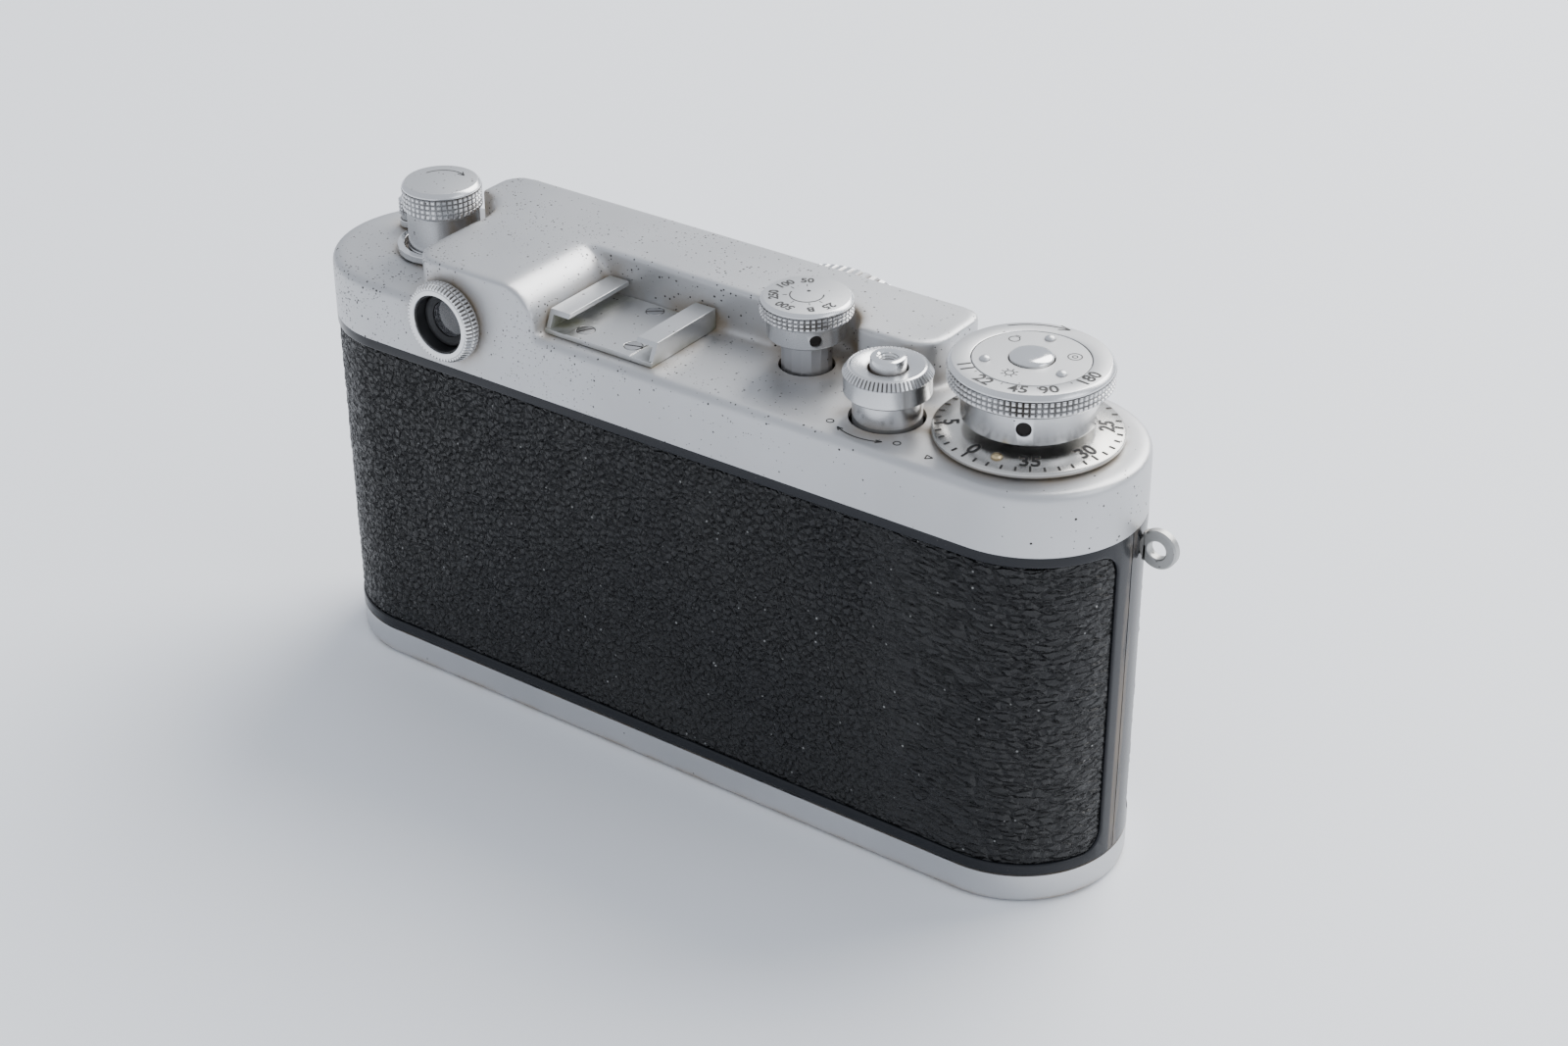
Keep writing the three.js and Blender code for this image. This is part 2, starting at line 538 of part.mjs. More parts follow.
// ---------------------------------------------------------------- speed dial
const POST_TOP = SPEED_TOP - 2.1;
piece("speed_spindle", STEEL, turnedUp(
  [
    [0, SHELL_TOP + PLAY], [SPEED_SPINDLE_R, SHELL_TOP + PLAY],
    [SPEED_SPINDLE_R, SPEED_LOW - PLAY], [SPEED_POST_R, SPEED_LOW - PLAY],
    [SPEED_POST_R, POST_TOP], [0, POST_TOP],
  ],
  SPEED_X, 0, SMALL,
));
const BUSH_R = SPEED_SPINDLE_R - 0.29;
piece("speed_lift_bush", BRASS, tube(
  SPEED_POST_R + SKIN_FIT, BUSH_R, SPEED_LOW + 0.2, POST_TOP, SPEED_X, 0, SMALL,
));
const SPEED_GRUB_Z = SPEED_LOW + 1.5;
const SPEED_GRUB_ANGLE = 138;
const SPEED_KNURL_LOW = SPEED_TOP - 2.8;
const SPEED_BORE_R = BUSH_R + SKIN_FIT;
piece("speed_dial", SATIN_CHROME, cut(
  turnedUp(
    [
      [0, POST_TOP + PLAY], [SPEED_BORE_R, POST_TOP + PLAY], [SPEED_BORE_R, SPEED_LOW],
      [SPEED_COLLAR_R, SPEED_LOW], [SPEED_COLLAR_R, SPEED_KNURL_LOW],
      [SPEED_R, SPEED_KNURL_LOW], [SPEED_R, SPEED_TOP - 0.5], [SPEED_R - 0.5, SPEED_TOP],
      [0, SPEED_TOP],
    ],
    SPEED_X, 0,
  ),
  grubScrew(
    SPEED_X, 0, SPEED_GRUB_Z, SPEED_GRUB_ANGLE, SPEED_BORE_R - 1, SPEED_COLLAR_R + 1,
    GRUB_R - 0.2 + SKIN_FIT,
  ),
));
piece("speed_grub_screw", STEEL, grubScrew(
  SPEED_X, 0, SPEED_GRUB_Z, SPEED_GRUB_ANGLE, SPEED_BORE_R + 0.1, SPEED_COLLAR_R - 0.3,
  GRUB_R - 0.2,
));

// ---------------------------------------------------------------- rewind knob and dioptre lever
const REWIND_BORE_R = REWIND_SHAFT_R + RUNNING;
const REWIND_BORE_TOP = REWIND_TOP - 1.2;
const REWIND_KNURL_LOW = REWIND_TOP - 4.3;
piece("rewind_knob", SATIN_CHROME, turnedUp(
  [
    [0, REWIND_BORE_TOP], [REWIND_BORE_R, REWIND_BORE_TOP], [REWIND_BORE_R, DECK_TOP + PLAY],
    [REWIND_NECK_R, DECK_TOP + PLAY], [REWIND_NECK_R, REWIND_KNURL_LOW],
    [REWIND_R, REWIND_KNURL_LOW], [REWIND_R, REWIND_TOP - 0.5], [REWIND_R - 0.5, REWIND_TOP],
    [0, REWIND_TOP],
  ],
  REWIND_X, 0,
));
const FORK_LOW = SHELL_TOP - 12.4;
piece("rewind_fork", STEEL, join(
  rod(REWIND_SHAFT_R, FORK_LOW + 4, REWIND_BORE_TOP - PLAY, REWIND_X, 0),
  block(REWIND_X - 3, REWIND_X + 3, -0.7, 0.7, FORK_LOW, FORK_LOW + 4.5),
));
const pegAngle = THREE.MathUtils.degToRad(DIOPTRE_ANGLE);
const PEG_X = REWIND_X + DIOPTRE_ARM * Math.cos(pegAngle);
const PEG_Y = DIOPTRE_ARM * Math.sin(pegAngle);
const LEVER_LOW = DECK_TOP + PLAY;
const LEVER_HIGH = LEVER_LOW + 1.1;
const armFrom = DIOPTRE_RING_R - 0.4;
const leverArm = new THREE.BoxGeometry(DIOPTRE_ARM - armFrom, 3, LEVER_HIGH - LEVER_LOW);
leverArm.translate((DIOPTRE_ARM + armFrom) / 2, 0, (LEVER_LOW + LEVER_HIGH) / 2);
piece("dioptre_lever", BRIGHT_CHROME, join(
  tube(REWIND_NECK_R + RUNNING, DIOPTRE_RING_R, LEVER_LOW, LEVER_HIGH, REWIND_X, 0),
  solid(leverArm.rotateZ(pegAngle).translate(REWIND_X, 0, 0)),
  rod(PEG_R, LEVER_LOW, LEVER_HIGH, PEG_X, PEG_Y),
));
piece("dioptre_peg", SATIN_CHROME, rod(PEG_R, LEVER_HIGH + SKIN_FIT, LEVER_HIGH + 3.8, PEG_X, PEG_Y));

// ---------------------------------------------------------------- finder and rangefinder
const REAR = BODY_DEPTH / 2;
piece("eyepiece_ring", BRIGHT_CHROME, forwardTube(
  EYE_BORE_R, EYE_RING_R, REAR + PLAY, EYE_RING_OUT, EYE_X, EYE_Z,
));
piece("eyepiece_lens", GLASS, forwardRod(
  EYE_BORE_R - RUNNING, REAR - 2.4, REAR + 0.9, EYE_X, EYE_Z,
));
piece("finder_window", GLASS, block(
  EYE_X - WINDOW_W / 2 + SKIN_FIT, EYE_X + WINDOW_W / 2 - SKIN_FIT, -REAR + 0.2, -REAR + 1,
  WINDOW_Z - WINDOW_H / 2 + SKIN_FIT, WINDOW_Z + WINDOW_H / 2 - SKIN_FIT,
));
const BEZEL_OUT = -REAR - 0.9;
piece("finder_bezel", BRIGHT_CHROME, cut(
  block(
    EYE_X - WINDOW_W / 2 - 1.4, EYE_X + WINDOW_W / 2 + 1.4, BEZEL_OUT, -REAR - 0.1,
    WINDOW_Z - WINDOW_H / 2 - 1.2, WINDOW_Z + WINDOW_H / 2 + 1.2,
  ),
  finderHole,
));
piece("range_window", GLASS, forwardRod(
  RANGE_R - SKIN_FIT, -REAR + 0.2, -REAR + 1, RANGE_X, WINDOW_Z,
));
piece("range_bezel", BRIGHT_CHROME, forwardTube(
  RANGE_R, RANGE_R + 1.4, BEZEL_OUT, -REAR - 0.1, RANGE_X, WINDOW_Z,
));
piece("beam_splitter", GLASS, block(
  EYE_X - 4, EYE_X + 4, 4.2 - REAR, 12.2 - REAR, DECK_TOP - 5.8, RIDGE_TOP - 3,
));
piece("range_prism", GLASS, block(
  RANGE_X - 3, RANGE_X + 3, 4.2 - REAR, 10.2 - REAR, DECK_TOP - 4.8, RIDGE_TOP - 4,
));
const FOLLOWER_PIVOT_Z = DECK_TOP - 5.8;
const FOLLOWER_FOOT_Z = LENS_Z + 12;
piece("range_follower", BRASS, join(
  block(
    LENS_X - 1.5, LENS_X + 1.5, FOLLOWER_Y - 0.7, FOLLOWER_Y + 0.7,
    FOLLOWER_FOOT_Z, FOLLOWER_PIVOT_Z + 2,
  ),
  // The upper arm turns the second image's prism, and balances the foot.
  block(
    LENS_X - 3, LENS_X + 3, FOLLOWER_Y - 0.9, FOLLOWER_Y + 0.9,
    FOLLOWER_PIVOT_Z + 2, FOLLOWER_PIVOT_Z + 9.5,
  ),
  solid(
    turned([[0, -3.5], [1.4, -3.5], [1.4, 3.5], [0, 3.5]], SMALL)
      .rotateZ(Math.PI / 2)
      .translate(LENS_X, FOLLOWER_Y, FOLLOWER_PIVOT_Z),
  ),
));
piece("sync_socket", BRIGHT_CHROME, forwardTube(
  1.7, 4.2, -REAR - 2.0, -REAR - 0.1, SYNC_X, SYNC_Z, SMALL,
));

// ---------------------------------------------------------------- accessory shoe
const SHOE_LOW = DECK_TOP + SKIN_FIT;
const SHOE_PLATE_TOP = SHOE_LOW + SHOE_PLATE_T;
const SHOE_SEAT = SHOE_PLATE_TOP + 0.1; // seat between the lips, a touch proud
const SHOE_MIDDLE = (SHOE_X0 + SHOE_X1) / 2;
const shoeScrews = [
  [SHOE_MIDDLE + 4.4, SHOE_Y1 - 2.8],
  [SHOE_MIDDLE - 4.4, SHOE_Y1 - 2.8],
  [SHOE_MIDDLE, SHOE_Y0 + 1.8],
];
const shoeRail = (outer, side) => {
  const shape = new THREE.Shape();
  // Section of one rail: a wall, then a lip that turns inwards; its ends slope back.
  shape.moveTo(SHOE_Y0, SHOE_LOW);
  shape.lineTo(SHOE_Y1, SHOE_LOW);
  shape.lineTo(SHOE_Y1 - 1.6, SHOE_RAIL_TOP);
  shape.lineTo(SHOE_Y0, SHOE_RAIL_TOP);
  shape.closePath();
  const lip = new THREE.ExtrudeGeometry(shape, { depth: SHOE_LIP, bevelEnabled: false });
  // Stand the section up: its x becomes y and its y becomes z.
  lip.applyMatrix4(new THREE.Matrix4().set(0, 0, 1, 0, 1, 0, 0, 0, 0, 1, 0, 0, 0, 0, 0, 1));
  lip.translate(side > 0 ? outer - SHOE_LIP : outer, 0, 0);
  const inside = side > 0
    ? block(outer - SHOE_LIP - 1, outer - 0.7, -FAR, FAR, SHOE_PLATE_TOP, SHOE_RAIL_TOP - 0.7)
    : block(outer + 0.7, outer + SHOE_LIP + 1, -FAR, FAR, SHOE_PLATE_TOP, SHOE_RAIL_TOP - 0.7);
  return cut(solid(lip), inside);
};
piece("accessory_shoe", BRIGHT_CHROME, cut(
  join(
    block(SHOE_X0, SHOE_X1, SHOE_Y0, SHOE_Y1, SHOE_LOW, SHOE_PLATE_TOP),
    block(
      SHOE_X0 + SHOE_LIP + PLAY, SHOE_X1 - SHOE_LIP - PLAY, SHOE_Y0, SHOE_Y1,
      SHOE_PLATE_TOP - 0.1, SHOE_SEAT,
    ),
    shoeRail(SHOE_X0, -1).intersect(block(SHOE_X0, FAR, SHOE_Y0, FAR, 0, FAR)),
    shoeRail(SHOE_X1, 1).intersect(block(0, SHOE_X1, SHOE_Y0, FAR, 0, FAR)),
  ),
  ...shoeScrews.map(([x, y]) => rod(SHOE_SCREW_R + SKIN_FIT, 60, SHOE_PLATE_TOP + 1, x, y, 16)),
));
shoeScrews.forEach(([x, y], i) => {
  piece(`shoe_screw_${i + 1}`, STEEL, cut(
    rod(SHOE_SCREW_R, SHOE_LOW, SHOE_PLATE_TOP, x, y, 16),
    block(x - 2, x + 2, y - 0.2, y + 0.2, SHOE_PLATE_TOP - 0.35, SHOE_PLATE_TOP + 1),
  ));
});

// ---------------------------------------------------------------- lens
piece("lens_mount", BRIGHT_CHROME, forwardTube(
  THROAT_R, MOUNT_R, -FLANGE_Y, -REAR + SKIN_RECESS - SKIN_FIT, LENS_X, LENS_Z,
));
const lensRing = (profile) => turnedForwards(profile, LENS_X, LENS_Z, ROUND);
const HELIX_FRONT = FLANGE_Y + 7.7;
const HELIX_REAR = FLANGE_Y - 3.9;
piece("lens_body", SATIN_CHROME, lensRing([
  [BARREL_TUBE_R + RUNNING, HELIX_REAR], [THROAT_R - RUNNING, HELIX_REAR],
  [THROAT_R - RUNNING, FLANGE_Y + PLAY], [FOCUS_R - 1, FLANGE_Y + PLAY], [FOCUS_R - 1, HELIX_FRONT],
  [BARREL_TUBE_R + RUNNING, HELIX_FRONT],
]));
const FOCUS_FRONT = FLANGE_Y + 29.9;
piece("focus_ring", SATIN_CHROME, lensRing([
  [FOCUS_BORE_R, HELIX_FRONT + PLAY], [FOCUS_R - 1, HELIX_FRONT + PLAY],
  [FOCUS_R - 1, FOCUS_FRONT - 10.7], [FOCUS_R - 2.3, FOCUS_FRONT - 9.2],
  [FOCUS_R - 2.3, FOCUS_FRONT - 8.4], [FOCUS_R, FOCUS_FRONT - 8.4],
  [FOCUS_R, FOCUS_FRONT - 2.8], [FOCUS_R - 2.9, FOCUS_FRONT],
  [FOCUS_BORE_R, FOCUS_FRONT],
]));
const APERTURE_FRONT = FOCUS_FRONT + 3;
piece("lens_barrel", SATIN_CHROME, lensRing([
  [9.3, -BARREL_REAR_Y], [BARREL_TUBE_R, -BARREL_REAR_Y], [BARREL_TUBE_R, HELIX_FRONT + 3.4],
  [BARREL_HEAD_R, HELIX_FRONT + 3.4], [BARREL_HEAD_R, FOCUS_FRONT], [NOSE_R, FOCUS_FRONT],
  [NOSE_R, LENS_FRONT], [14.2, LENS_FRONT], [14.2, LENS_FRONT - 2.5], [11.8, LENS_FRONT - 4.8],
  [11.8, LENS_FRONT - 12.3], [9.3, LENS_FRONT - 12.3],
]));
piece("aperture_ring", SATIN_CHROME, lensRing([
  [NOSE_R + RUNNING, FOCUS_FRONT + PLAY], [20.6, FOCUS_FRONT + PLAY],
  [20.6, APERTURE_FRONT - 0.8], [19.4, APERTURE_FRONT], [NOSE_R + RUNNING, APERTURE_FRONT],
]));
const lensGlass = (r, y, thick, bulge) => {
  const steps = 6;
  const profile = [[0, y], [r, y], [r, y + thick]];
  for (let i = 1; i < steps; i += 1) {
    const t = (i / steps) * (Math.PI / 2);
    profile.push([r * Math.cos(t), y + thick + bulge * Math.sin(t)]);
  }
  profile.push([0, y + thick + bulge]);
  return turnedForwards(profile, LENS_X, LENS_Z, SMALL);
};
piece("front_glass", GLASS, lensGlass(11.6, LENS_FRONT - 10.3, 3, 2));
piece("rear_glass", GLASS, lensGlass(9.1, 2 - BARREL_REAR_Y, 2.5, 1));
piece("iris", DARK, lensRing([
  [4, HELIX_FRONT + 4], [9.1, HELIX_FRONT + 4], [9.1, HELIX_FRONT + 4.6], [4, HELIX_FRONT + 4.6],
]));

// ---------------------------------------------------------------- strap lugs
for (const [side, sign] of [["rewind_side", 1], ["wind_side", -1]]) {
  const centre = LUG_OUT - 2.9;
  const eye = new THREE.CylinderGeometry(2.9, 2.9, LUG_T, SMALL).translate(centre, LUG_Y, LUG_Z);
  const foot = BODY_WIDTH / 2 + SKIN_FIT;
  const root = block(foot, centre, LUG_Y - LUG_T / 2, LUG_Y + LUG_T / 2, LUG_Z - 2.4, LUG_Z + 2.4);
  const hole = new THREE.CylinderGeometry(1.4, 1.4, 4, SMALL).translate(centre, LUG_Y, LUG_Z);
  const inBody = block(0, foot, -FAR, FAR, 0, FAR);
  const lug = cut(join(solid(eye), root), solid(hole), inBody);
  piece(`strap_lug_${side}`, BRIGHT_CHROME, sign > 0 ? lug : lug.mirror([1, 0, 0]));
}

export default camera;
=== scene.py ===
import json
import math

import bmesh
import bpy
from mathutils import Matrix, Vector, noise


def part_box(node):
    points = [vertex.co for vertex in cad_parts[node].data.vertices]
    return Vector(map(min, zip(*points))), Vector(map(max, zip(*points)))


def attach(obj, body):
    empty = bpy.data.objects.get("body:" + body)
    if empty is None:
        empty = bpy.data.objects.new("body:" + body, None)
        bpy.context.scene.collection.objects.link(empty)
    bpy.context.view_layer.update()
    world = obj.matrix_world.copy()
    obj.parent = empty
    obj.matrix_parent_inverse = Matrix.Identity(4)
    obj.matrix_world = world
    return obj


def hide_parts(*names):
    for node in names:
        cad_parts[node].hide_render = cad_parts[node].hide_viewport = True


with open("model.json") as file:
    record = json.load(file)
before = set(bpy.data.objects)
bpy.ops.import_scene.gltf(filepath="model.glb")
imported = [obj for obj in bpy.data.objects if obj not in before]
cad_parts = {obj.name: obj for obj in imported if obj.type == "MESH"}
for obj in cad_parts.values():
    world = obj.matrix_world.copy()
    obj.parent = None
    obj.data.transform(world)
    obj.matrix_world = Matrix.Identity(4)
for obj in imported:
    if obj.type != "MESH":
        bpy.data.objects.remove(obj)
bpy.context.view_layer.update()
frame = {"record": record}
scene = bpy.context.scene
MM = 0.001

# ---------------------------------------------------------------------------------------
# Studio: a wide pale table, a pale sky, one large soft window light from beyond the lens
# and a weak fill. The camera looks down on the back of the body from the wind knob's side.
TARGET = Vector((-12.19, 0, 39.14)) * MM
DISTANCE = 405.5 * MM
AZIMUTH = math.radians(215.70)
ELEVATION = math.radians(30.33)
ROLL = math.radians(-0.25)

backwards = Vector((
    math.sin(AZIMUTH) * math.cos(ELEVATION),
    -math.cos(AZIMUTH) * math.cos(ELEVATION),
    math.sin(ELEVATION),
))
camera_data = bpy.data.cameras.new("studio_camera")
camera_data.lens = 62.88
camera_data.sensor_width = 36
camera_data.clip_start = 0.01
camera_data.clip_end = 20
camera = bpy.data.objects.new("studio_camera", camera_data)
camera.rotation_mode = "QUATERNION"
camera.location = TARGET + backwards * DISTANCE
turn_to = (-backwards).to_track_quat("-Z", "Y").to_matrix() @ Matrix.Rotation(ROLL, 3, "Z")
camera.rotation_quaternion = turn_to.to_quaternion()
scene.collection.objects.link(camera)
scene.camera = camera


def new_material(name, color, metallic=0.0, roughness=0.5, **sockets):
    """A material with one Principled shader. Returns the material, its tree and the shader."""
    material = bpy.data.materials.new(name)
    material.use_nodes = True
    tree = material.node_tree
    shader = tree.nodes["Principled BSDF"]
    shader.inputs["Base Color"].default_value = (*color, 1)
    shader.inputs["Metallic"].default_value = metallic
    shader.inputs["Roughness"].default_value = roughness
    for socket, value in sockets.items():
        shader.inputs[socket.replace("_", " ")].default_value = value
    return material, tree, shader


table_material, _, _ = new_material("table_paper", (0.885, 0.905, 0.94), roughness=0.6)
table_mesh = bpy.data.meshes.new("table")
table_bm = bmesh.new()
bmesh.ops.create_grid(table_bm, x_segments=1, y_segments=1, size=4)
table_bm.to_mesh(table_mesh)
table_bm.free()
table_mesh.materials.append(table_material)
table = bpy.data.objects.new("table", table_mesh)
table.location.z = -0.0002
scene.collection.objects.link(table)

world = bpy.data.worlds.new("studio_sky")
world.use_nodes = True
world.node_tree.nodes["Background"].inputs["Color"].default_value = (0.86, 0.91, 1.0, 1)
world.node_tree.nodes["Background"].inputs["Strength"].default_value = 0.96
scene.world = world

for name, place, size, power, tint in [
    ("window_light", (-0.20, -1.15, 1.10), 1.5, 42.0, (1.0, 0.985, 0.96)),
    ("side_fill", (-1.30, -0.10, 0.80), 1.0, 5.0, (0.93, 0.96, 1.0)),
]:
    light_data = bpy.data.lights.new(name, "AREA")
    light_data.shape = "DISK"
    light_data.size = size
    light_data.energy = power
    light_data.color = tint
    light = bpy.data.objects.new(name, light_data)
    light.location = place
    light.rotation_mode = "QUATERNION"
    light.rotation_quaternion = (TARGET - Vector(place)).to_track_quat("-Z", "Y")
    scene.collection.objects.link(light)

# ---------------------------------------------------------------------------------------
# Top cover: one drawn brass pressing in satin chrome, with soft corners everywhere. The
# raised rangefinder housing, the finder block and their recesses are blended by smoothing
# a fine skin, and the skin is then given the sheet's thickness.


def add_node(tree, kind, **values):
    """Adds a node; values are its properties, or its inputs by name or number."""
    node = tree.nodes.new(kind)
    for key, value in values.items():
        if key.startswith("in_"):
            slot = key[3:].replace("_", " ")
            node.inputs[int(slot) if slot.isdigit() else slot].default_value = value
        else:
            setattr(node, key, value)
    return node


def shared_group(name, inputs, outputs):
    """A shader node group with float inputs, given as {name: default}, and typed outputs."""
    tree = bpy.data.node_groups.new(name, "ShaderNodeTree")
    for socket, value in inputs.items():
        made = tree.interface.new_socket(socket, in_out="INPUT", socket_type="NodeSocketFloat")
        made.default_value = value
    for socket, kind in outputs.items():
        tree.interface.new_socket(socket, in_out="OUTPUT", socket_type="NodeSocket" + kind)
    return tree, tree.nodes.new("NodeGroupInput"), tree.nodes.new("NodeGroupOutput")


def ramp(tree, source, low, high, mode="LINEAR"):
    """Stretches a value so that low becomes 0 and high becomes 1."""
    node = add_node(tree, "ShaderNodeMapRange", interpolation_type=mode)
    node.inputs["From Min"].default_value = low
    node.inputs["From Max"].default_value = high
    tree.links.new(source, node.inputs["Value"])
    return node.outputs["Result"]


def combine(tree, operation, a, b):
    """Math node on two values, each a socket or a number."""
    node = add_node(tree, "ShaderNodeMath", operation=operation)
    for socket, value in zip(node.inputs, (a, b)):
        if isinstance(value, (int, float)):
            socket.default_value = value
        else:
            tree.links.new(value, socket)
    return node.outputs[0]


def mix_color(tree, factor, a, b):
    """Mixes two colours, each a socket or three numbers."""
    node = add_node(tree, "ShaderNodeMix", data_type="RGBA")
    tree.links.new(factor, node.inputs["Factor"])
    for socket, value in ((node.inputs[6], a), (node.inputs[7], b)):
        if isinstance(value, tuple):
            socket.default_value = (*value, 1)
        else:
            tree.links.new(value, socket)
    return node.outputs[2]


# Age of plated metal and painted shade: fine dark pits in drifts, brown grime together with painted
# shade where the surface is enclosed (an occlusion mask darkens corners and crevices), and a slow
# change of tone. Scales are per metre.
plate_age_and_shade, group_in, group_out = shared_group(
    "plate_age_and_shade",
    {"Pit Scale": 1500.0, "Pit Cover": 0.5, "Grime Reach": 0.004},
    {"Pits": "Float", "Crevice Shade And Grime": "Float", "Tone": "Float", "Grain": "Float"},
)
place = add_node(plate_age_and_shade, "ShaderNodeTexCoord")
cells = add_node(plate_age_and_shade, "ShaderNodeTexVoronoi", feature="F1")
plate_age_and_shade.links.new(place.outputs["Object"], cells.inputs["Vector"])
plate_age_and_shade.links.new(group_in.outputs["Pit Scale"], cells.inputs["Scale"])
drift = add_node(plate_age_and_shade, "ShaderNodeTexNoise", in_Scale=48.0, in_Detail=5.0, in_Roughness=0.65)
plate_age_and_shade.links.new(place.outputs["Object"], drift.inputs["Vector"])
split = add_node(plate_age_and_shade, "ShaderNodeSeparateColor")
plate_age_and_shade.links.new(cells.outputs["Color"], split.inputs[0])
along = add_node(plate_age_and_shade, "ShaderNodeSeparateXYZ")
plate_age_and_shade.links.new(place.outputs["Object"], along.inputs[0])
rewind_side = combine(plate_age_and_shade, "MAXIMUM", ramp(plate_age_and_shade, along.outputs["X"], -0.040, 0.045), 0.16)
chance = combine(plate_age_and_shade, "MULTIPLY", ramp(plate_age_and_shade, drift.outputs["Fac"], 0.40, 0.68),
                 combine(plate_age_and_shade, "MULTIPLY", group_in.outputs["Pit Cover"], rewind_side))
chosen = combine(plate_age_and_shade, "LESS_THAN", split.outputs[0], chance)
width = combine(plate_age_and_shade, "POWER", split.outputs[1], 3.0)
spot = combine(plate_age_and_shade, "SUBTRACT", ramp(plate_age_and_shade, width, -0.9, 3.0),
               cells.outputs["Distance"])
pits = combine(plate_age_and_shade, "MULTIPLY", ramp(plate_age_and_shade, spot, 0.0, 0.12), chosen)
enclosed = add_node(plate_age_and_shade, "ShaderNodeAmbientOcclusion", samples=8, only_local=False)
plate_age_and_shade.links.new(group_in.outputs["Grime Reach"], enclosed.inputs["Distance"])
smear = add_node(plate_age_and_shade, "ShaderNodeTexNoise", in_Scale=180.0, in_Detail=5.0)
plate_age_and_shade.links.new(place.outputs["Object"], smear.inputs["Vector"])
# Painted shade: the occlusion mask darkens enclosed corners and crevices, broken up by noise; where
# the colour is brown it is also grime.
closeness = ramp(plate_age_and_shade, enclosed.outputs["AO"], 0.93, 0.42)
crevice_shade_and_grime = combine(plate_age_and_shade, "MULTIPLY", closeness,
                ramp(plate_age_and_shade, smear.outputs["Fac"], 0.30, 0.62))
tone = add_node(plate_age_and_shade, "ShaderNodeTexNoise", in_Scale=28.0, in_Detail=3.0)
plate_age_and_shade.links.new(place.outputs["Object"], tone.inputs["Vector"])
grain = add_node(plate_age_and_shade, "ShaderNodeTexNoise", in_Scale=5200.0, in_Detail=2.0)
plate_age_and_shade.links.new(place.outputs["Object"], grain.inputs["Vector"])
for socket, value in (("Pits", pits), ("Crevice Shade And Grime", crevice_shade_and_grime), ("Tone", tone.outputs["Fac"]),
                      ("Grain", grain.outputs["Fac"])):
    plate_age_and_shade.links.new(value, group_out.inputs[socket])


def plated(name, color, roughness, crevice_shade_and_grime_color, pit_cover, grain_depth, reach=0.004,
           pit_scale=1500.0):
    """Chrome, nickel or steel with pits, grime with painted shade in its corners and crevices, and a
    fine blasted or polished grain.
    """
    material, tree, shader = new_material(name, color, 1.0, roughness)
    age = add_node(tree, "ShaderNodeGroup", node_tree=plate_age_and_shade)
    age.inputs["Pit Scale"].default_value = pit_scale
    age.inputs["Pit Cover"].default_value = pit_cover
    age.inputs["Grime Reach"].default_value = reach
    darker = tuple(c * 0.86 for c in color)
    base = mix_color(tree, ramp(tree, age.outputs["Tone"], 0.35, 0.65), darker, color)
    # Painted shade and grime: enclosed places are mixed towards the darkening colour.
    base = mix_color(tree, age.outputs["Crevice Shade And Grime"], base, crevice_shade_and_grime_color)
    base = mix_color(tree, age.outputs["Pits"], base, (0.035, 0.030, 0.026))
    tree.links.new(base, shader.inputs["Base Color"])
    dull = combine(tree, "MAXIMUM", age.outputs["Pits"], age.outputs["Crevice Shade And Grime"])
    rough = combine(tree, "MULTIPLY_ADD", dull, 0.35)
    rough.node.inputs[2].default_value = roughness
    uneven = combine(tree, "MULTIPLY_ADD", age.outputs["Tone"], 0.12)
    uneven.node.inputs[2].default_value = -0.06
    tree.links.new(combine(tree, "ADD", rough, uneven), shader.inputs["Roughness"])
    metal = combine(tree, "SUBTRACT", 1.0, combine(tree, "MULTIPLY", dull, 0.75))
    tree.links.new(metal, shader.inputs["Metallic"])
    relief = combine(tree, "SUBTRACT", combine(tree, "MULTIPLY", age.outputs["Grain"], 0.25),
                     age.outputs["Pits"])
    bump = add_node(tree, "ShaderNodeBump", in_Strength=grain_depth, in_Distance=0.00006)
    tree.links.new(relief, bump.inputs["Height"])
    tree.links.new(bump.outputs["Normal"], shader.inputs["Normal"])
    return material


# The fourth value of each finish is the colour its enclosed corners are darkened to: painted shade,
# and grime where it is brown.
SATIN_CHROME = plated("satin_chrome", (0.585, 0.59, 0.60), 0.43, (0.31, 0.25, 0.18), 0.95, 0.8,
                      reach=0.005, pit_scale=2300.0)
CLEAN_CHROME = plated("clean_satin_chrome", (0.585, 0.59, 0.60), 0.40, (0.31, 0.25, 0.18), 0.05,
                      0.8, reach=0.002)
KNOB_SATIN = plated("knob_satin", (0.64, 0.645, 0.65), 0.40, (0.07, 0.055, 0.04), 0.25, 0.6,
                    reach=0.0009, pit_scale=2200.0)
SHOE_CHROME = plated("shoe_chrome", (0.66, 0.665, 0.67), 0.34, (0.20, 0.20, 0.14), 0.3, 0.5,
                     reach=0.003, pit_scale=1800.0)
KNOB_CHROME = plated("knob_chrome", (0.70, 0.705, 0.715), 0.24, (0.07, 0.055, 0.04), 0.10, 0.35,
                     reach=0.0009, pit_scale=2200.0)
BRIGHT_CHROME = plated("bright_chrome", (0.78, 0.785, 0.79), 0.13, (0.10, 0.08, 0.06), 0.06, 0.2,
                       reach=0.0012)
WORN_CHROME = plated("worn_chrome", (0.47, 0.47, 0.46), 0.44, (0.16, 0.12, 0.07), 0.6, 0.9,
                     reach=0.0016, pit_scale=2000.0)
STEEL = plated("machined_steel", (0.50, 0.50, 0.51), 0.32, (0.08, 0.06, 0.04), 0.15, 0.4,
               reach=0.001)


def box_mm(node):
    """Lowest and highest corner of a CAD node, in millimetres."""
    low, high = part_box(node)
    return low / MM, high / MM


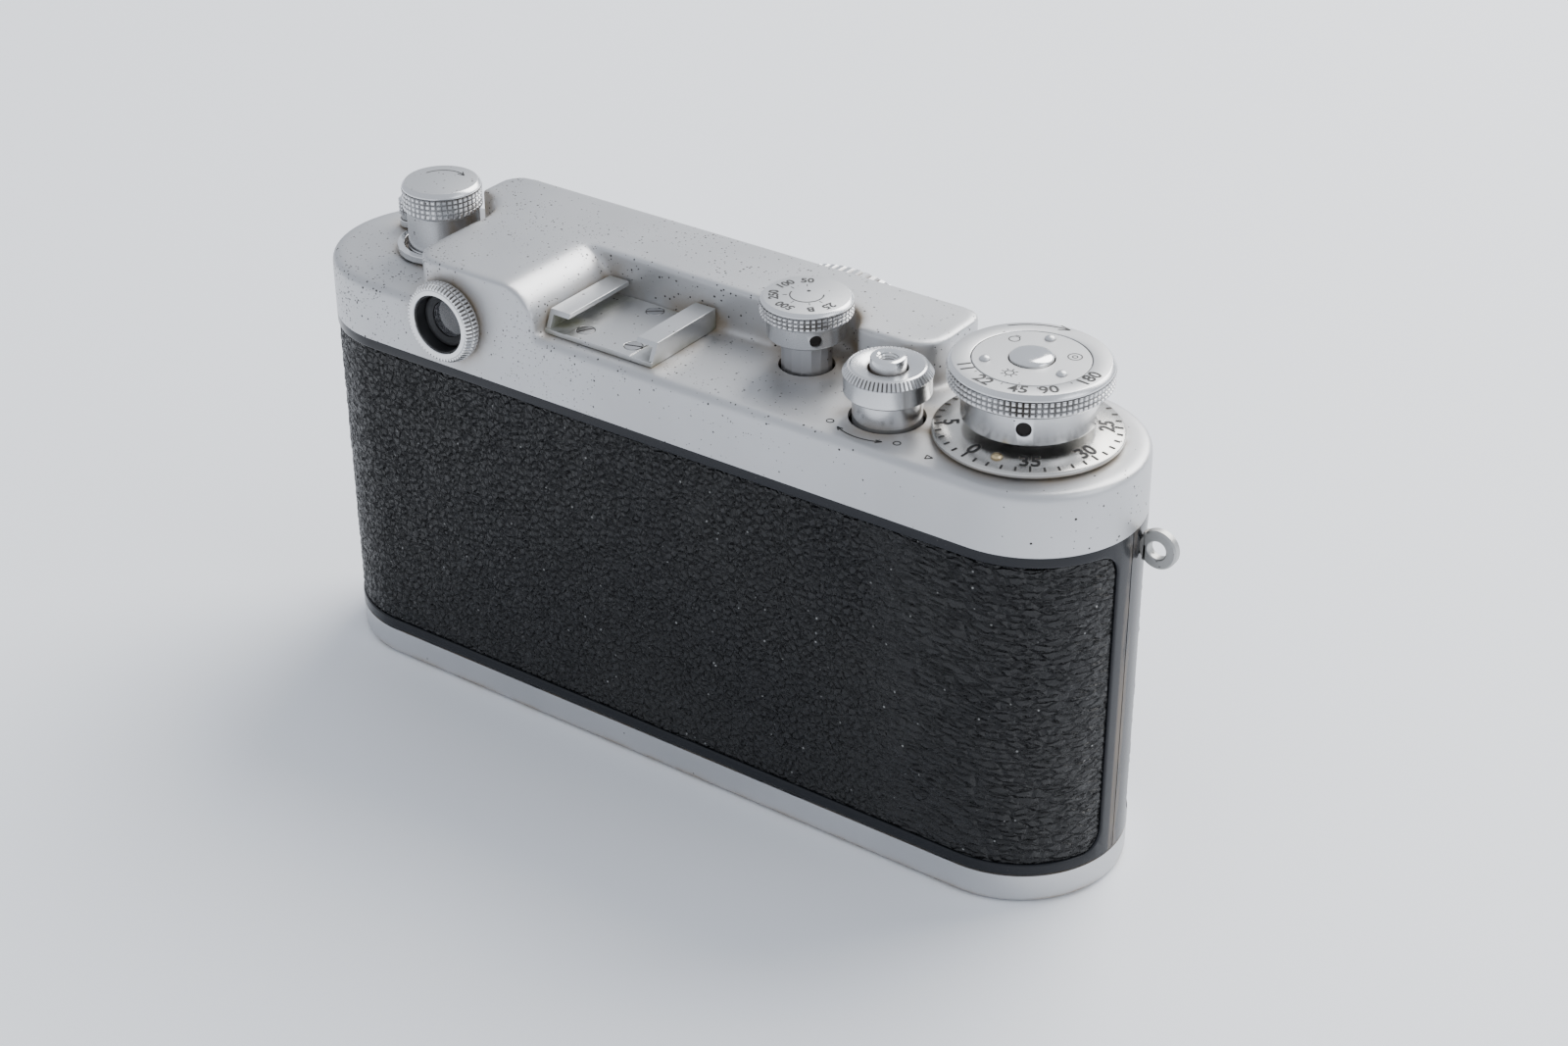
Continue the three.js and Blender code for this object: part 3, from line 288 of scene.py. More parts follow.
def put_piece(name, bm, material, body, replaces=(), sharp=32, top=None):
    """Turns a bmesh in millimetres into a finished piece in metres on its body.

    top is a second finish, for the flat upper faces."""
    if top:
        bm.normal_update()
        for face in bm.faces:
            face.material_index = int(face.normal.z > 0.97)
    bmesh.ops.scale(bm, vec=(MM, MM, MM), verts=bm.verts)
    mesh = bpy.data.meshes.new(name)
    bm.to_mesh(mesh)
    bm.free()
    mesh.polygons.foreach_set("use_smooth", [True] * len(mesh.polygons))
    mesh.set_sharp_from_angle(angle=math.radians(sharp))
    mesh.materials.append(material)
    if top:
        mesh.materials.append(top)
    piece = bpy.data.objects.new(name, mesh)
    if sharp <= 20:
        piece.modifiers.new("flat_faces", "WEIGHTED_NORMAL").keep_sharp = True
    scene.collection.objects.link(piece)
    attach(piece, body)
    if replaces:
        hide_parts(*replaces)
    return piece


def prism_bm(length, width, z0, z1, segments=128):
    """A closed prism with straight sides and half-round ends along X."""
    bm = bmesh.new()
    made = bmesh.ops.create_circle(bm, cap_ends=True, segments=segments, radius=width / 2)
    bmesh.ops.rotate(bm, verts=bm.verts, cent=(0, 0, 0),
                     matrix=Matrix.Rotation(math.pi / segments, 3, "Z"))
    reach = (length - width) / 2
    bmesh.ops.translate(bm, verts=[v for v in made["verts"] if v.co.x > 0], vec=(reach, 0, 0))
    bmesh.ops.translate(bm, verts=[v for v in made["verts"] if v.co.x < 0], vec=(-reach, 0, 0))
    bmesh.ops.translate(bm, verts=bm.verts, vec=(0, 0, z0))
    up = bmesh.ops.extrude_face_region(bm, geom=bm.faces[:])
    bmesh.ops.translate(bm, verts=[v for v in up["geom"] if isinstance(v, bmesh.types.BMVert)],
                        vec=(0, 0, z1 - z0))
    bmesh.ops.recalc_face_normals(bm, faces=bm.faces)
    return bm


def box_bm(low, high):
    """A closed box between two corners."""
    bm = bmesh.new()
    bmesh.ops.create_cube(bm, size=1)
    middle = [(a + b) / 2 for a, b in zip(low, high)]
    bmesh.ops.scale(bm, vec=[b - a for a, b in zip(low, high)], verts=bm.verts)
    bmesh.ops.translate(bm, vec=middle, verts=bm.verts)
    return bm


def rod_bm(radius, start, end, segments=64):
    """A closed cylinder between two points."""
    bm = bmesh.new()
    start, end = Vector(start), Vector(end)
    along = end - start
    bmesh.ops.create_cone(bm, cap_ends=True, segments=segments, radius1=radius, radius2=radius,
                          depth=along.length)
    bmesh.ops.rotate(bm, verts=bm.verts, cent=(0, 0, 0),
                     matrix=along.to_track_quat("Z", "Y").to_matrix())
    bmesh.ops.translate(bm, vec=(start + end) / 2, verts=bm.verts)
    return bm


def bevel_edges(bm, edges, width, segments=3):
    bmesh.ops.bevel(bm, geom=edges, offset=width, offset_type="OFFSET", affect="EDGES",
                    segments=segments, profile=0.5, clamp_overlap=True, material=-1)


def soften(bm, width, segments=2, angle=28):
    """Rounds every edge that is sharper than angle."""
    sharp = [e for e in bm.edges
             if len(e.link_faces) == 2 and e.calc_face_angle(0) > math.radians(angle)]
    bevel_edges(bm, sharp, width, segments)


def edges_near(bm, test):
    """The edges whose both ends pass test."""
    return [e for e in bm.edges if test(e.verts[0].co) and test(e.verts[1].co)]


def outward(bm):
    """Turns a closed shape right side out."""
    if bm.calc_volume(signed=True) < 0:
        bmesh.ops.reverse_faces(bm, faces=bm.faces)


def scratch_object(bm):
    outward(bm)
    mesh = bpy.data.meshes.new("scratch")
    bm.to_mesh(mesh)
    bm.free()
    made = bpy.data.objects.new("scratch", mesh)
    scene.collection.objects.link(made)
    return made


def carve(bm, steps, solver="EXACT"):
    """Joins tools to bm or cuts them from it, in order. steps are (operation, tool bmesh)."""
    target = scratch_object(bm)
    for operation, tool_bm in steps:
        tool = scratch_object(tool_bm)
        modifier = target.modifiers.new("carve", "BOOLEAN")
        modifier.operation = operation
        modifier.solver = solver
        modifier.object = tool
        bpy.context.view_layer.update()
        result = bpy.data.meshes.new_from_object(
            target.evaluated_get(bpy.context.evaluated_depsgraph_get()))
        target.modifiers.clear()
        target.data = result
        bpy.data.objects.remove(tool)
    carved = bmesh.new()
    carved.from_mesh(target.data)
    bpy.data.objects.remove(target)
    outward(carved)
    return carved


def smooth_skin(bm, voxel, passes):
    """Remeshes bm on a fine even grid and relaxes it, so that its corners turn soft."""
    skin = scratch_object(bm)
    remesh = skin.modifiers.new("skin", "REMESH")
    remesh.mode = "VOXEL"
    remesh.voxel_size = voxel
    relax = skin.modifiers.new("relax", "SMOOTH")
    relax.factor = 0.5
    relax.iterations = passes
    bpy.context.view_layer.update()
    result = bpy.data.meshes.new_from_object(
        skin.evaluated_get(bpy.context.evaluated_depsgraph_get()))
    out = bmesh.new()
    out.from_mesh(result)
    bpy.data.objects.remove(skin)
    return out


cover_low, cover_high = box_mm("top_cover")
shell_low, shell_high = box_mm("back_shell")
BODY_WIDTH = cover_high.x - cover_low.x
BODY_DEPTH = cover_high.y - cover_low.y
END_R = BODY_DEPTH / 2
END_X = BODY_WIDTH / 2 - END_R
DECK_Z = box_mm("accessory_shoe")[0].z - 0.1
RIDGE_Z = cover_high.z
RIDGE_LEFT, RIDGE_RIGHT, RIDGE_REAR = -36.0, 51.0, -1.75
BLOCK_INNER = 20.8
FLANK_R = 5.8
SHEET = 1.0


def centre_of(node):
    low, high = box_mm(node)
    return (low + high) / 2


wind = centre_of("wind_knob")
clutch = centre_of("clutch_collar")
speed = centre_of("speed_dial")
rewind = centre_of("rewind_knob")
eye = centre_of("eyepiece_ring")
finder = centre_of("finder_window")
ranger = centre_of("range_window")

housing = box_bm((RIDGE_LEFT, -END_R, cover_low.z - 3), (RIDGE_RIGHT, RIDGE_REAR, RIDGE_Z))
bevel_edges(housing, edges_near(
    housing, lambda p: p.x < RIDGE_LEFT + 1 and p.y > RIDGE_REAR - 1), 5.0, 12)
bevel_edges(housing, edges_near(
    housing, lambda p: p.x < RIDGE_LEFT + 1 and p.y < -END_R + 1), 3.0, 8)
bevel_edges(housing, edges_near(
    housing, lambda p: p.x > RIDGE_RIGHT - 1 and p.y < -END_R + 1), 3.5, 8)
finder_block = box_bm((BLOCK_INNER, RIDGE_REAR - 6, cover_low.z - 3),
                      (rewind.x - 7.8, END_R, RIDGE_Z))
bevel_edges(finder_block, edges_near(
    finder_block, lambda p: p.x < BLOCK_INNER + 1 and p.z > RIDGE_Z - 1), FLANK_R, 16)
bevel_edges(finder_block, edges_near(
    finder_block, lambda p: p.x > BLOCK_INNER + 20 and p.y > END_R - 1), 4.5, 12)
bevel_edges(finder_block, edges_near(
    finder_block, lambda p: p.x > BLOCK_INNER + 20 and p.z > RIDGE_Z - 1), 2.6, 8)
knob_side = box_bm((rewind.x - 9.5, -END_R + 5, cover_low.z - 3), (RIDGE_RIGHT, -1, RIDGE_Z))
deck = prism_bm(BODY_WIDTH, BODY_DEPTH, cover_low.z - 3, DECK_Z)
bevel_edges(deck, edges_near(deck, lambda p: p.z > DECK_Z - 0.1), 1.1, 6)
cover = carve(deck, [
    ("UNION", housing), ("UNION", finder_block), ("UNION", knob_side),
    ("DIFFERENCE", rod_bm(7.5, (speed.x, 0, DECK_Z), (speed.x, 0, RIDGE_Z + 5))),
    ("DIFFERENCE", rod_bm(8.0, (rewind.x, 0, DECK_Z), (rewind.x, 0, RIDGE_Z + 5))),
])
cover = smooth_skin(cover, 0.45, 10)
bmesh.ops.bisect_plane(cover, geom=cover.verts[:] + cover.edges[:] + cover.faces[:],
                       plane_co=(0, 0, shell_high.z + 0.05), plane_no=(0, 0, 1), clear_inner=True)
cover_skin = scratch_object(cover)
sheet = cover_skin.modifiers.new("sheet", "SOLIDIFY")
sheet.thickness = SHEET
sheet.offset = -1
sheet.use_even_offset = True
bpy.context.view_layer.update()
sheet_mesh = bpy.data.meshes.new_from_object(
    cover_skin.evaluated_get(bpy.context.evaluated_depsgraph_get()))
bpy.data.objects.remove(cover_skin)
cover = bmesh.new()
cover.from_mesh(sheet_mesh)


def hole_down(radius, x, y):
    return rod_bm(radius, (x, y, DECK_Z - 4), (x, y, DECK_Z + 4))


holes = hole_down(3.4, wind.x, wind.y)
for radius, x, y in ((5.45, clutch.x, clutch.y), (4.1, speed.x, speed.y), (2.8, rewind.x, 0)):
    extra = scratch_object(hole_down(radius, x, y))
    holes.from_mesh(extra.data)
    bpy.data.objects.remove(extra)
window_low, window_high = box_mm("finder_window")
for tool in (
    rod_bm(5.0, (eye.x, END_R - 4, eye.z), (eye.x, END_R + 3, eye.z)),
    rod_bm(4.0, (ranger.x, -END_R - 3, ranger.z), (ranger.x, -END_R + 4, ranger.z)),
    box_bm((window_low.x, -END_R - 3, window_low.z), (window_high.x, -END_R + 4, window_high.z)),
):
    extra = scratch_object(tool)
    holes.from_mesh(extra.data)
    bpy.data.objects.remove(extra)
cover = carve(cover, [("DIFFERENCE", holes)])
put_piece("top_cover_pressing", cover, SATIN_CHROME, "chassis", ("top_cover",),
          sharp=50)

# ---------------------------------------------------------------------------------------
# Base: a shallow drawn tray in satin chrome that closes the body and is slid off with the
# back. Its lower edge is rounded, and it is pierced for the two lock keys and the bush.


def modified(bm, *modifiers):
    """Passes bm through modifiers, each a type with its settings, and returns the result."""
    target = scratch_object(bm)
    for kind, settings in modifiers:
        modifier = target.modifiers.new(kind.lower(), kind)
        for key, value in settings.items():
            setattr(modifier, key, value)
    bpy.context.view_layer.update()
    result = bpy.data.meshes.new_from_object(
        target.evaluated_get(bpy.context.evaluated_depsgraph_get()))
    out = bmesh.new()
    out.from_mesh(result)
    bpy.data.objects.remove(target)
    return out


def thicken(bm, thickness):
    """Gives an open surface a wall on its inner side."""
    settings = {"thickness": thickness, "offset": -1, "use_even_offset": True}
    return modified(bm, ("SOLIDIFY", settings))


tray_low, tray_high = box_mm("base_tray")
tray = prism_bm(BODY_WIDTH, BODY_DEPTH, tray_low.z, tray_high.z)
bevel_edges(tray, edges_near(tray, lambda p: p.z < tray_low.z + 0.1), 0.9, 5)
bmesh.ops.delete(tray, geom=[f for f in tray.faces if f.normal.z > 0.9], context="FACES")
tray = thicken(tray, 1.1)
key_holes = []
for node in ("lock_key_rewind_side", "lock_key_wind_side"):
    at = centre_of(node)
    width = box_mm(node)[1].x - box_mm(node)[0].x
    key_holes.append(("DIFFERENCE", rod_bm(width / 2 + 0.3, (at.x, 0, -2), (at.x, 0, 3), 96)))
bush = centre_of("tripod_bush")
key_holes.append(("DIFFERENCE", rod_bm(5.8, (bush.x, 0, -2), (bush.x, 0, 3))))
tray = carve(tray, key_holes)
put_piece("base_tray_pressing", tray, CLEAN_CHROME, "back", ("base_tray",))


def eased_copy(node, name, material, width=0.12, body=None, sharp=16):
    """A copy of a machined part with its edges broken."""
    bm = bmesh.new()
    bm.from_mesh(bpy.data.objects[node].data)
    bmesh.ops.scale(bm, vec=(1 / MM, 1 / MM, 1 / MM), verts=bm.verts)
    bmesh.ops.remove_doubles(bm, verts=bm.verts, dist=0.002)
    bmesh.ops.dissolve_limit(bm, angle_limit=math.radians(1), verts=bm.verts, edges=bm.edges)
    soften(bm, width)
    owner = body or next(b for b, nodes in frame["record"]["behaviour"]["bodies"].items()
                         if node in nodes)
    return put_piece(name, bm, material, owner, (node,), sharp)


for side in ("rewind_side", "wind_side"):
    eased_copy("lock_key_" + side, "lock_key_turned_" + side, KNOB_CHROME, 0.15)
    eased_copy("lock_bail_" + side, "lock_bail_wire_" + side, BRIGHT_CHROME, 0.2)
eased_copy("tripod_bush", "tripod_bush_turned", STEEL, 0.15)

# ---------------------------------------------------------------------------------------
# Body shells: pressed sheet in stoved black enamel. Each half has a shallow pan with round
# corners for its covering, and a glossy rim is left all round. The halves meet on the ends.


def enamel_material():
    """Glossy black enamel, worn through to brown metal where the halves rub on the ends."""
    material, tree, shader = new_material("black_enamel", (0.011, 0.012, 0.015), 0.0, 0.17,
                                          Specular_IOR_Level=0.26)
    where = add_node(tree, "ShaderNodeTexCoord")
    axes = add_node(tree, "ShaderNodeSeparateXYZ")
    tree.links.new(where.outputs["Object"], axes.inputs[0])
    near_seam = ramp(tree, combine(tree, "ABSOLUTE", axes.outputs["Y"], 0.0), 0.0014, 0.0008)
    on_end = combine(tree, "GREATER_THAN", combine(tree, "ABSOLUTE", axes.outputs["X"], 0.0),
                     0.060)
    rubbed = add_node(tree, "ShaderNodeTexNoise", in_Scale=260.0, in_Detail=5.0,
                      in_Roughness=0.65)
    stretch = add_node(tree, "ShaderNodeMapping")
    stretch.inputs["Scale"].default_value = (1, 1, 0.16)
    tree.links.new(where.outputs["Object"], stretch.inputs["Vector"])
    tree.links.new(stretch.outputs[0], rubbed.inputs["Vector"])
    patches = ramp(tree, rubbed.outputs["Fac"], 0.44, 0.60)
    worn = combine(tree, "MULTIPLY", combine(tree, "MULTIPLY", near_seam, on_end), patches)
    specks = add_node(tree, "ShaderNodeTexVoronoi", feature="F1", in_Scale=480.0)
    tree.links.new(where.outputs["Object"], specks.inputs["Vector"])
    dust = ramp(tree, specks.outputs["Distance"], 0.055, 0.03)
    lit = mix_color(tree, worn, (0.011, 0.012, 0.015), (0.15, 0.125, 0.10))
    lit = mix_color(tree, combine(tree, "MULTIPLY", dust, 0.35), lit, (0.16, 0.15, 0.14))
    tree.links.new(lit, shader.inputs["Base Color"])
    haze = add_node(tree, "ShaderNodeTexNoise", in_Scale=90.0, in_Detail=6.0)
    tree.links.new(where.outputs["Object"], haze.inputs["Vector"])
    rough = combine(tree, "ADD", ramp(tree, haze.outputs["Fac"], -0.9, 3.0),
                    combine(tree, "MULTIPLY", worn, 0.3))
    tree.links.new(combine(tree, "SUBTRACT", rough, 0.16), shader.inputs["Roughness"])
    orange_peel = add_node(tree, "ShaderNodeTexNoise", in_Scale=700.0, in_Detail=2.0)
    tree.links.new(where.outputs["Object"], orange_peel.inputs["Vector"])
    bump = add_node(tree, "ShaderNodeBump", in_Strength=0.12, in_Distance=0.00008)
    tree.links.new(orange_peel.outputs["Fac"], bump.inputs["Height"])
    tree.links.new(bump.outputs["Normal"], shader.inputs["Normal"])
    return material


BLACK_ENAMEL = enamel_material()
SEAM_AT = END_X + END_R * math.pi / 2
SHELL_LOW_Z, SHELL_HIGH_Z = shell_low.z, shell_high.z
PAN_LOW_Z, PAN_HIGH_Z = 6.5, 55.5
PAN_DEPTH = 0.7
PAN_CORNER = 3.4
PAN_EDGE = SEAM_AT - 3.2


def wrap(bm, front=False):
    """Bends a flat sheet, its x along the outline and its y outwards, round the body."""
    for vert in bm.verts:
        s, out, z = vert.co
        radius = END_R + out
        beyond = max(abs(s) - END_X, 0.0) / END_R
        x = min(abs(s), END_X) + radius * math.sin(beyond)
        vert.co = (math.copysign(x, s), radius * math.cos(beyond), z)
    if front:
        bmesh.ops.rotate(bm, verts=bm.verts, cent=(0, 0, 0),
                         matrix=Matrix.Rotation(math.pi, 3, "Z"))


def round_panel(half_length, z0, z1, corner, segments=8):
    """A flat upright panel with round corners, facing +Y."""
    bm = bmesh.new()
    corners = [(-half_length, 0, z0), (half_length, 0, z0), (half_length, 0, z1),
               (-half_length, 0, z1)]
    face = bm.faces.new([bm.verts.new(c) for c in corners])
    face.normal_update()
    if face.normal.y < 0:
        face.normal_flip()
    bmesh.ops.bevel(bm, geom=bm.verts[:], offset=corner, offset_type="OFFSET",
                    affect="VERTICES", segments=segments, profile=0.5, clamp_overlap=False,
                    material=-1)
    return bm


def slice_lengthwise(bm, places, direction=(1, 0, 0)):
    axis = Vector(direction)
    for place_along in places:
        bmesh.ops.bisect_plane(bm, geom=bm.verts[:] + bm.edges[:] + bm.faces[:],
                               plane_co=axis * place_along, plane_no=axis)


def shell_bm(edge, front):
    """One half shell: its pan, the rim round it and its wall."""
    bm = round_panel(edge, PAN_LOW_Z, PAN_HIGH_Z, PAN_CORNER)
    floor = bm.faces[:]
    rim = bmesh.ops.extrude_edge_only(bm, edges=bm.edges[:])
    for vert in [v for v in rim["geom"] if isinstance(v, bmesh.types.BMVert)]:
        s, _, z = vert.co
        middle = (PAN_LOW_Z + PAN_HIGH_Z) / 2
        to_side = max(abs(s) - (edge - PAN_CORNER), 0)
        to_end = max(abs(z - middle) - ((PAN_HIGH_Z - PAN_LOW_Z) / 2 - PAN_CORNER), 0)
        if to_side >= to_end - 0.01:
            vert.co.x = math.copysign(SEAM_AT - 0.1, s)
        if to_end >= to_side - 0.01:
            vert.co.z = SHELL_HIGH_Z if z > middle else SHELL_LOW_Z
    sunk = bmesh.ops.extrude_face_region(bm, geom=floor)
    inner = [v for v in sunk["geom"] if isinstance(v, bmesh.types.BMVert)]
    bmesh.ops.delete(bm, geom=[f for f in floor if f.is_valid], context="FACES_ONLY")
    bmesh.ops.translate(bm, verts=inner, vec=(0, -PAN_DEPTH, 0))
    bmesh.ops.recalc_face_normals(bm, faces=bm.faces)
    if sum(f.normal.y * f.calc_area() for f in bm.faces) < 0:
        bmesh.ops.reverse_faces(bm, faces=bm.faces)
    step = END_R * math.pi / 2 / 20
    marks = [END_X + i * step for i in range(20)]
    slice_lengthwise(bm, [-m for m in marks] + marks)
    lip = [e for e in bm.edges if len(e.link_faces) == 2
           and e.calc_face_angle(0) > 1.0 and abs(e.verts[0].co.y) + abs(e.verts[1].co.y) < 0.01]
    bevel_edges(bm, lip, 0.28, 3)
    wrap(bm, front)
    return thicken(bm, 0.5)


put_piece("back_shell_pressing", shell_bm(PAN_EDGE, False), BLACK_ENAMEL, "back",
          ("back_shell",), sharp=40)
FRONT_PAN_EDGE = SEAM_AT - 5.2
lens_axis = centre_of("lens_mount")
throat_cut = rod_bm(19.6, (lens_axis.x, -END_R - 4, lens_axis.z),
                    (lens_axis.x, -END_R + 6, lens_axis.z), 96)
mount_seat = rod_bm(23.3, (lens_axis.x, -END_R - 4, lens_axis.z),
                    (lens_axis.x, -END_R + 0.62, lens_axis.z), 96)
front_shell = carve(shell_bm(FRONT_PAN_EDGE, True),
                    [("DIFFERENCE", throat_cut), ("DIFFERENCE", mount_seat)], "FAST")
put_piece("front_shell_pressing", front_shell, BLACK_ENAMEL, "chassis", ("front_shell",),
          sharp=40)

# ---------------------------------------------------------------------------------------
# Coverings: pebbled black leathercloth cemented into the pans. The grain is pressed
# irregular, and near the wind knob's end it is drawn out into level ripples.


def leather_material():
    material, tree, shader = new_material("leathercloth", (0.006, 0.006, 0.007), 0.0, 0.30,
                                          Specular_IOR_Level=0.36)
    where = add_node(tree, "ShaderNodeTexCoord")
    fine = add_node(tree, "ShaderNodeTexNoise", in_Scale=2400.0, in_Detail=6.0,
                    in_Roughness=0.6)
    sway = add_node(tree, "ShaderNodeTexNoise", in_Scale=650.0, in_Detail=2.0)
    swayed = add_node(tree, "ShaderNodeVectorMath", operation="MULTIPLY_ADD")
    swayed.inputs[1].default_value = (0.0007, 0.0007, 0.0007)
    cell = add_node(tree, "ShaderNodeTexVoronoi", feature="DISTANCE_TO_EDGE", in_Scale=900.0)
    patch = add_node(tree, "ShaderNodeTexNoise", in_Scale=45.0, in_Detail=4.0)
    lint_and_glint_cells = add_node(tree, "ShaderNodeTexVoronoi", feature="F1", in_Scale=360.0)
    for node in (fine, sway, patch, lint_and_glint_cells):
        tree.links.new(where.outputs["Object"], node.inputs["Vector"])
    tree.links.new(sway.outputs["Color"], swayed.inputs[0])
    tree.links.new(where.outputs["Object"], swayed.inputs[2])
    tree.links.new(swayed.outputs[0], cell.inputs["Vector"])
    shade = mix_color(tree, ramp(tree, patch.outputs["Fac"], 0.35, 0.7), (0.005, 0.005, 0.006),
                      (0.010, 0.0098, 0.0098))
    # Bright specks: lint on the cloth, and also painted highlights that stand in for glints off the
    # grain.
    dust = combine(tree, "MULTIPLY", ramp(tree, lint_and_glint_cells.outputs["Distance"], 0.075, 0.04), 0.8)
    shade = mix_color(tree, dust, shade, (0.34, 0.34, 0.33))
    tree.links.new(shade, shader.inputs["Base Color"])
    tree.links.new(ramp(tree, fine.outputs["Fac"], -0.25, 2.4), shader.inputs["Roughness"])
    squash = add_node(tree, "ShaderNodeMapping")
    squash.inputs["Scale"].default_value = (0.42, 0.42, 1.15)
    tree.links.new(swayed.outputs[0], squash.inputs["Vector"])
    ripple = add_node(tree, "ShaderNodeTexVoronoi", feature="DISTANCE_TO_EDGE", in_Scale=900.0)
    tree.links.new(squash.outputs[0], ripple.inputs["Vector"])
    axes = add_node(tree, "ShaderNodeSeparateXYZ")
    tree.links.new(where.outputs["Object"], axes.inputs[0])
    drawn = ramp(tree, axes.outputs["X"], -0.036, -0.047)
    ripples = combine(tree, "MULTIPLY", ramp(tree, ripple.outputs["Distance"], 0.0, 0.24), drawn)
    pebbles = combine(tree, "MULTIPLY_ADD", ramp(tree, cell.outputs["Distance"], 0.0, 0.24),
                      combine(tree, "SUBTRACT", 1.0, drawn))
    tree.links.new(ripples, pebbles.node.inputs[2])
    height = combine(tree, "ADD", pebbles, combine(tree, "MULTIPLY", fine.outputs["Fac"], 0.28))
    bump = add_node(tree, "ShaderNodeBump", in_Strength=1.0, in_Distance=0.0004)
    tree.links.new(height, bump.inputs["Height"])
    tree.links.new(bump.outputs["Normal"], shader.inputs["Normal"])
    return material


LEATHERCLOTH = leather_material()
GRAIN_DEPTH = 0.34


def grain(s, z, wind_end):
    """Height of the pressed grain, 0 in the grooves to 1 on the pebbles."""
    drawn = min(max((wind_end * s - 40) / 26, 0), 1)
    warp = noise.noise_vector(Vector((s * 0.55, z * 0.55, 3.7))) * 0.55
    along = s / (1.15 + 1.1 * drawn) + warp.x
    up = z / (1.10 - 0.30 * drawn) + warp.y
    nearest, points = noise.voronoi(Vector((along, up, 0.5)))
    pebble = min((nearest[1] - nearest[0]) * 2.2, 1.0)
    swell = noise.noise(Vector((along * 0.55, up * 0.9, 9.1))) * 0.5 + 0.5
    return 0.62 * pebble + 0.38 * swell


def covering_bm(edge, front, pitch, wind_end):
    half = edge - 0.15
    z0, z1 = PAN_LOW_Z + 0.12, PAN_HIGH_Z - 0.12
    bm = bmesh.new()
    bmesh.ops.create_grid(bm, x_segments=round(2 * half / pitch),
                          y_segments=round((z1 - z0) / pitch), size=1)
    bmesh.ops.scale(bm, vec=(half, (z1 - z0) / 2, 1), verts=bm.verts)
    bmesh.ops.rotate(bm, verts=bm.verts, cent=(0, 0, 0), matrix=Matrix.Rotation(
        math.pi / 2, 3, "X"))
    bmesh.ops.translate(bm, verts=bm.verts, vec=(0, 0, (z0 + z1) / 2))
    radius = PAN_CORNER - 0.15
    for sx in (-1, 1):
        for sz in (-1, 1):
            corner = Vector((sx * (half - radius), 0, (z0 + z1) / 2 + sz * ((z1 - z0) / 2 - radius)))
            for i in range(1, 9):
                angle = math.radians(i * 10)
                way = Vector((sx * math.cos(angle), 0, sz * math.sin(angle)))
                bmesh.ops.bisect_plane(bm, geom=bm.verts[:] + bm.edges[:] + bm.faces[:],
                                       plane_co=corner + way * radius, plane_no=way,
                                       clear_outer=True)
    if sum(f.normal.y for f in bm.faces) < 0:
        bmesh.ops.reverse_faces(bm, faces=bm.faces)
    edge_verts = {v for e in bm.edges if e.is_boundary for v in e.verts}
    for vert in bm.verts:
        rise = grain(vert.co.x, vert.co.z, wind_end) * GRAIN_DEPTH
        vert.co.y = -PAN_DEPTH + 0.28 + (0.10 if vert in edge_verts else rise)
    wrap(bm, front)
    return thicken(bm, 0.26)


put_piece("back_covering_cloth", covering_bm(PAN_EDGE, False, 0.42, -1), LEATHERCLOTH, "back",
          ("back_covering",), sharp=180)
front_cloth = covering_bm(FRONT_PAN_EDGE, True, 0.6, 1)
front_cloth = carve(front_cloth, [("DIFFERENCE", rod_bm(
    23.3, (lens_axis.x, -END_R - 4, lens_axis.z), (lens_axis.x, -END_R + 6, lens_axis.z), 96))])
put_piece("front_covering_cloth", front_cloth, LEATHERCLOTH, "chassis", ("front_covering",),
          sharp=180)

# ---------------------------------------------------------------------------------------
# Wind knob: turned brass, chromed. A three-row knurl below a polished chamfer, a satin top
# with film speeds, and a plain collar with a grub screw that pins it to the spool's shaft.


def turned_bm(profile, steps):
    """Turns a profile of [radius, height] pairs round the Z axis."""
    bm = bmesh.new()
    verts = [bm.verts.new((r, 0, h)) for r, h in profile]
    edges = [bm.edges.new(pair) for pair in zip(verts, verts[1:])]
    if profile[0][0] > 0:
        edges.append(bm.edges.new((verts[-1], verts[0])))
    bmesh.ops.spin(bm, geom=verts + edges, cent=(0, 0, 0), axis=(0, 0, 1), dvec=(0, 0, 0),
                   angle=2 * math.pi, steps=steps, use_merge=True, use_duplicate=False)
    bmesh.ops.remove_doubles(bm, verts=bm.verts, dist=0.0005)
    bmesh.ops.dissolve_degenerate(bm, edges=bm.edges, dist=0.0005)
    bmesh.ops.recalc_face_normals(bm, faces=bm.faces)
    outward(bm)
    return bm


def knurl(bm, radius, low, high, rows, depth, gap):
    """Cuts a band of a turned piece into rows and raises each facet as a blunt pyramid."""
    slice_lengthwise(bm, [low + (high - low) * i / rows for i in range(1, rows)], (0, 0, 1))
    band = []
    for face in bm.faces:
        middle = face.calc_center_median()
        if low < middle.z < high and abs(math.hypot(middle.x, middle.y) - radius) < 0.12:
            band.append(face)
    bmesh.ops.inset_individual(bm, faces=band, thickness=gap, depth=depth,
                               use_even_offset=True)


def move(bm, x=0, y=0, z=0):
    bmesh.ops.translate(bm, verts=bm.verts, vec=(x, y, z))


GRUB_R = 1.0


def collar_with_grub(bm, radius, z, angle, hole_r):
    """Drills the cross hole for a grub screw, in the knob's own frame."""
    way = Vector((math.cos(math.radians(angle)), math.sin(math.radians(angle)), 0))
    start = way * (radius - 2.2) + Vector((0, 0, z))
    drill = rod_bm(hole_r, start, start + way * 4, 32)
    return carve(bm, [("DIFFERENCE", drill)], "FAST")


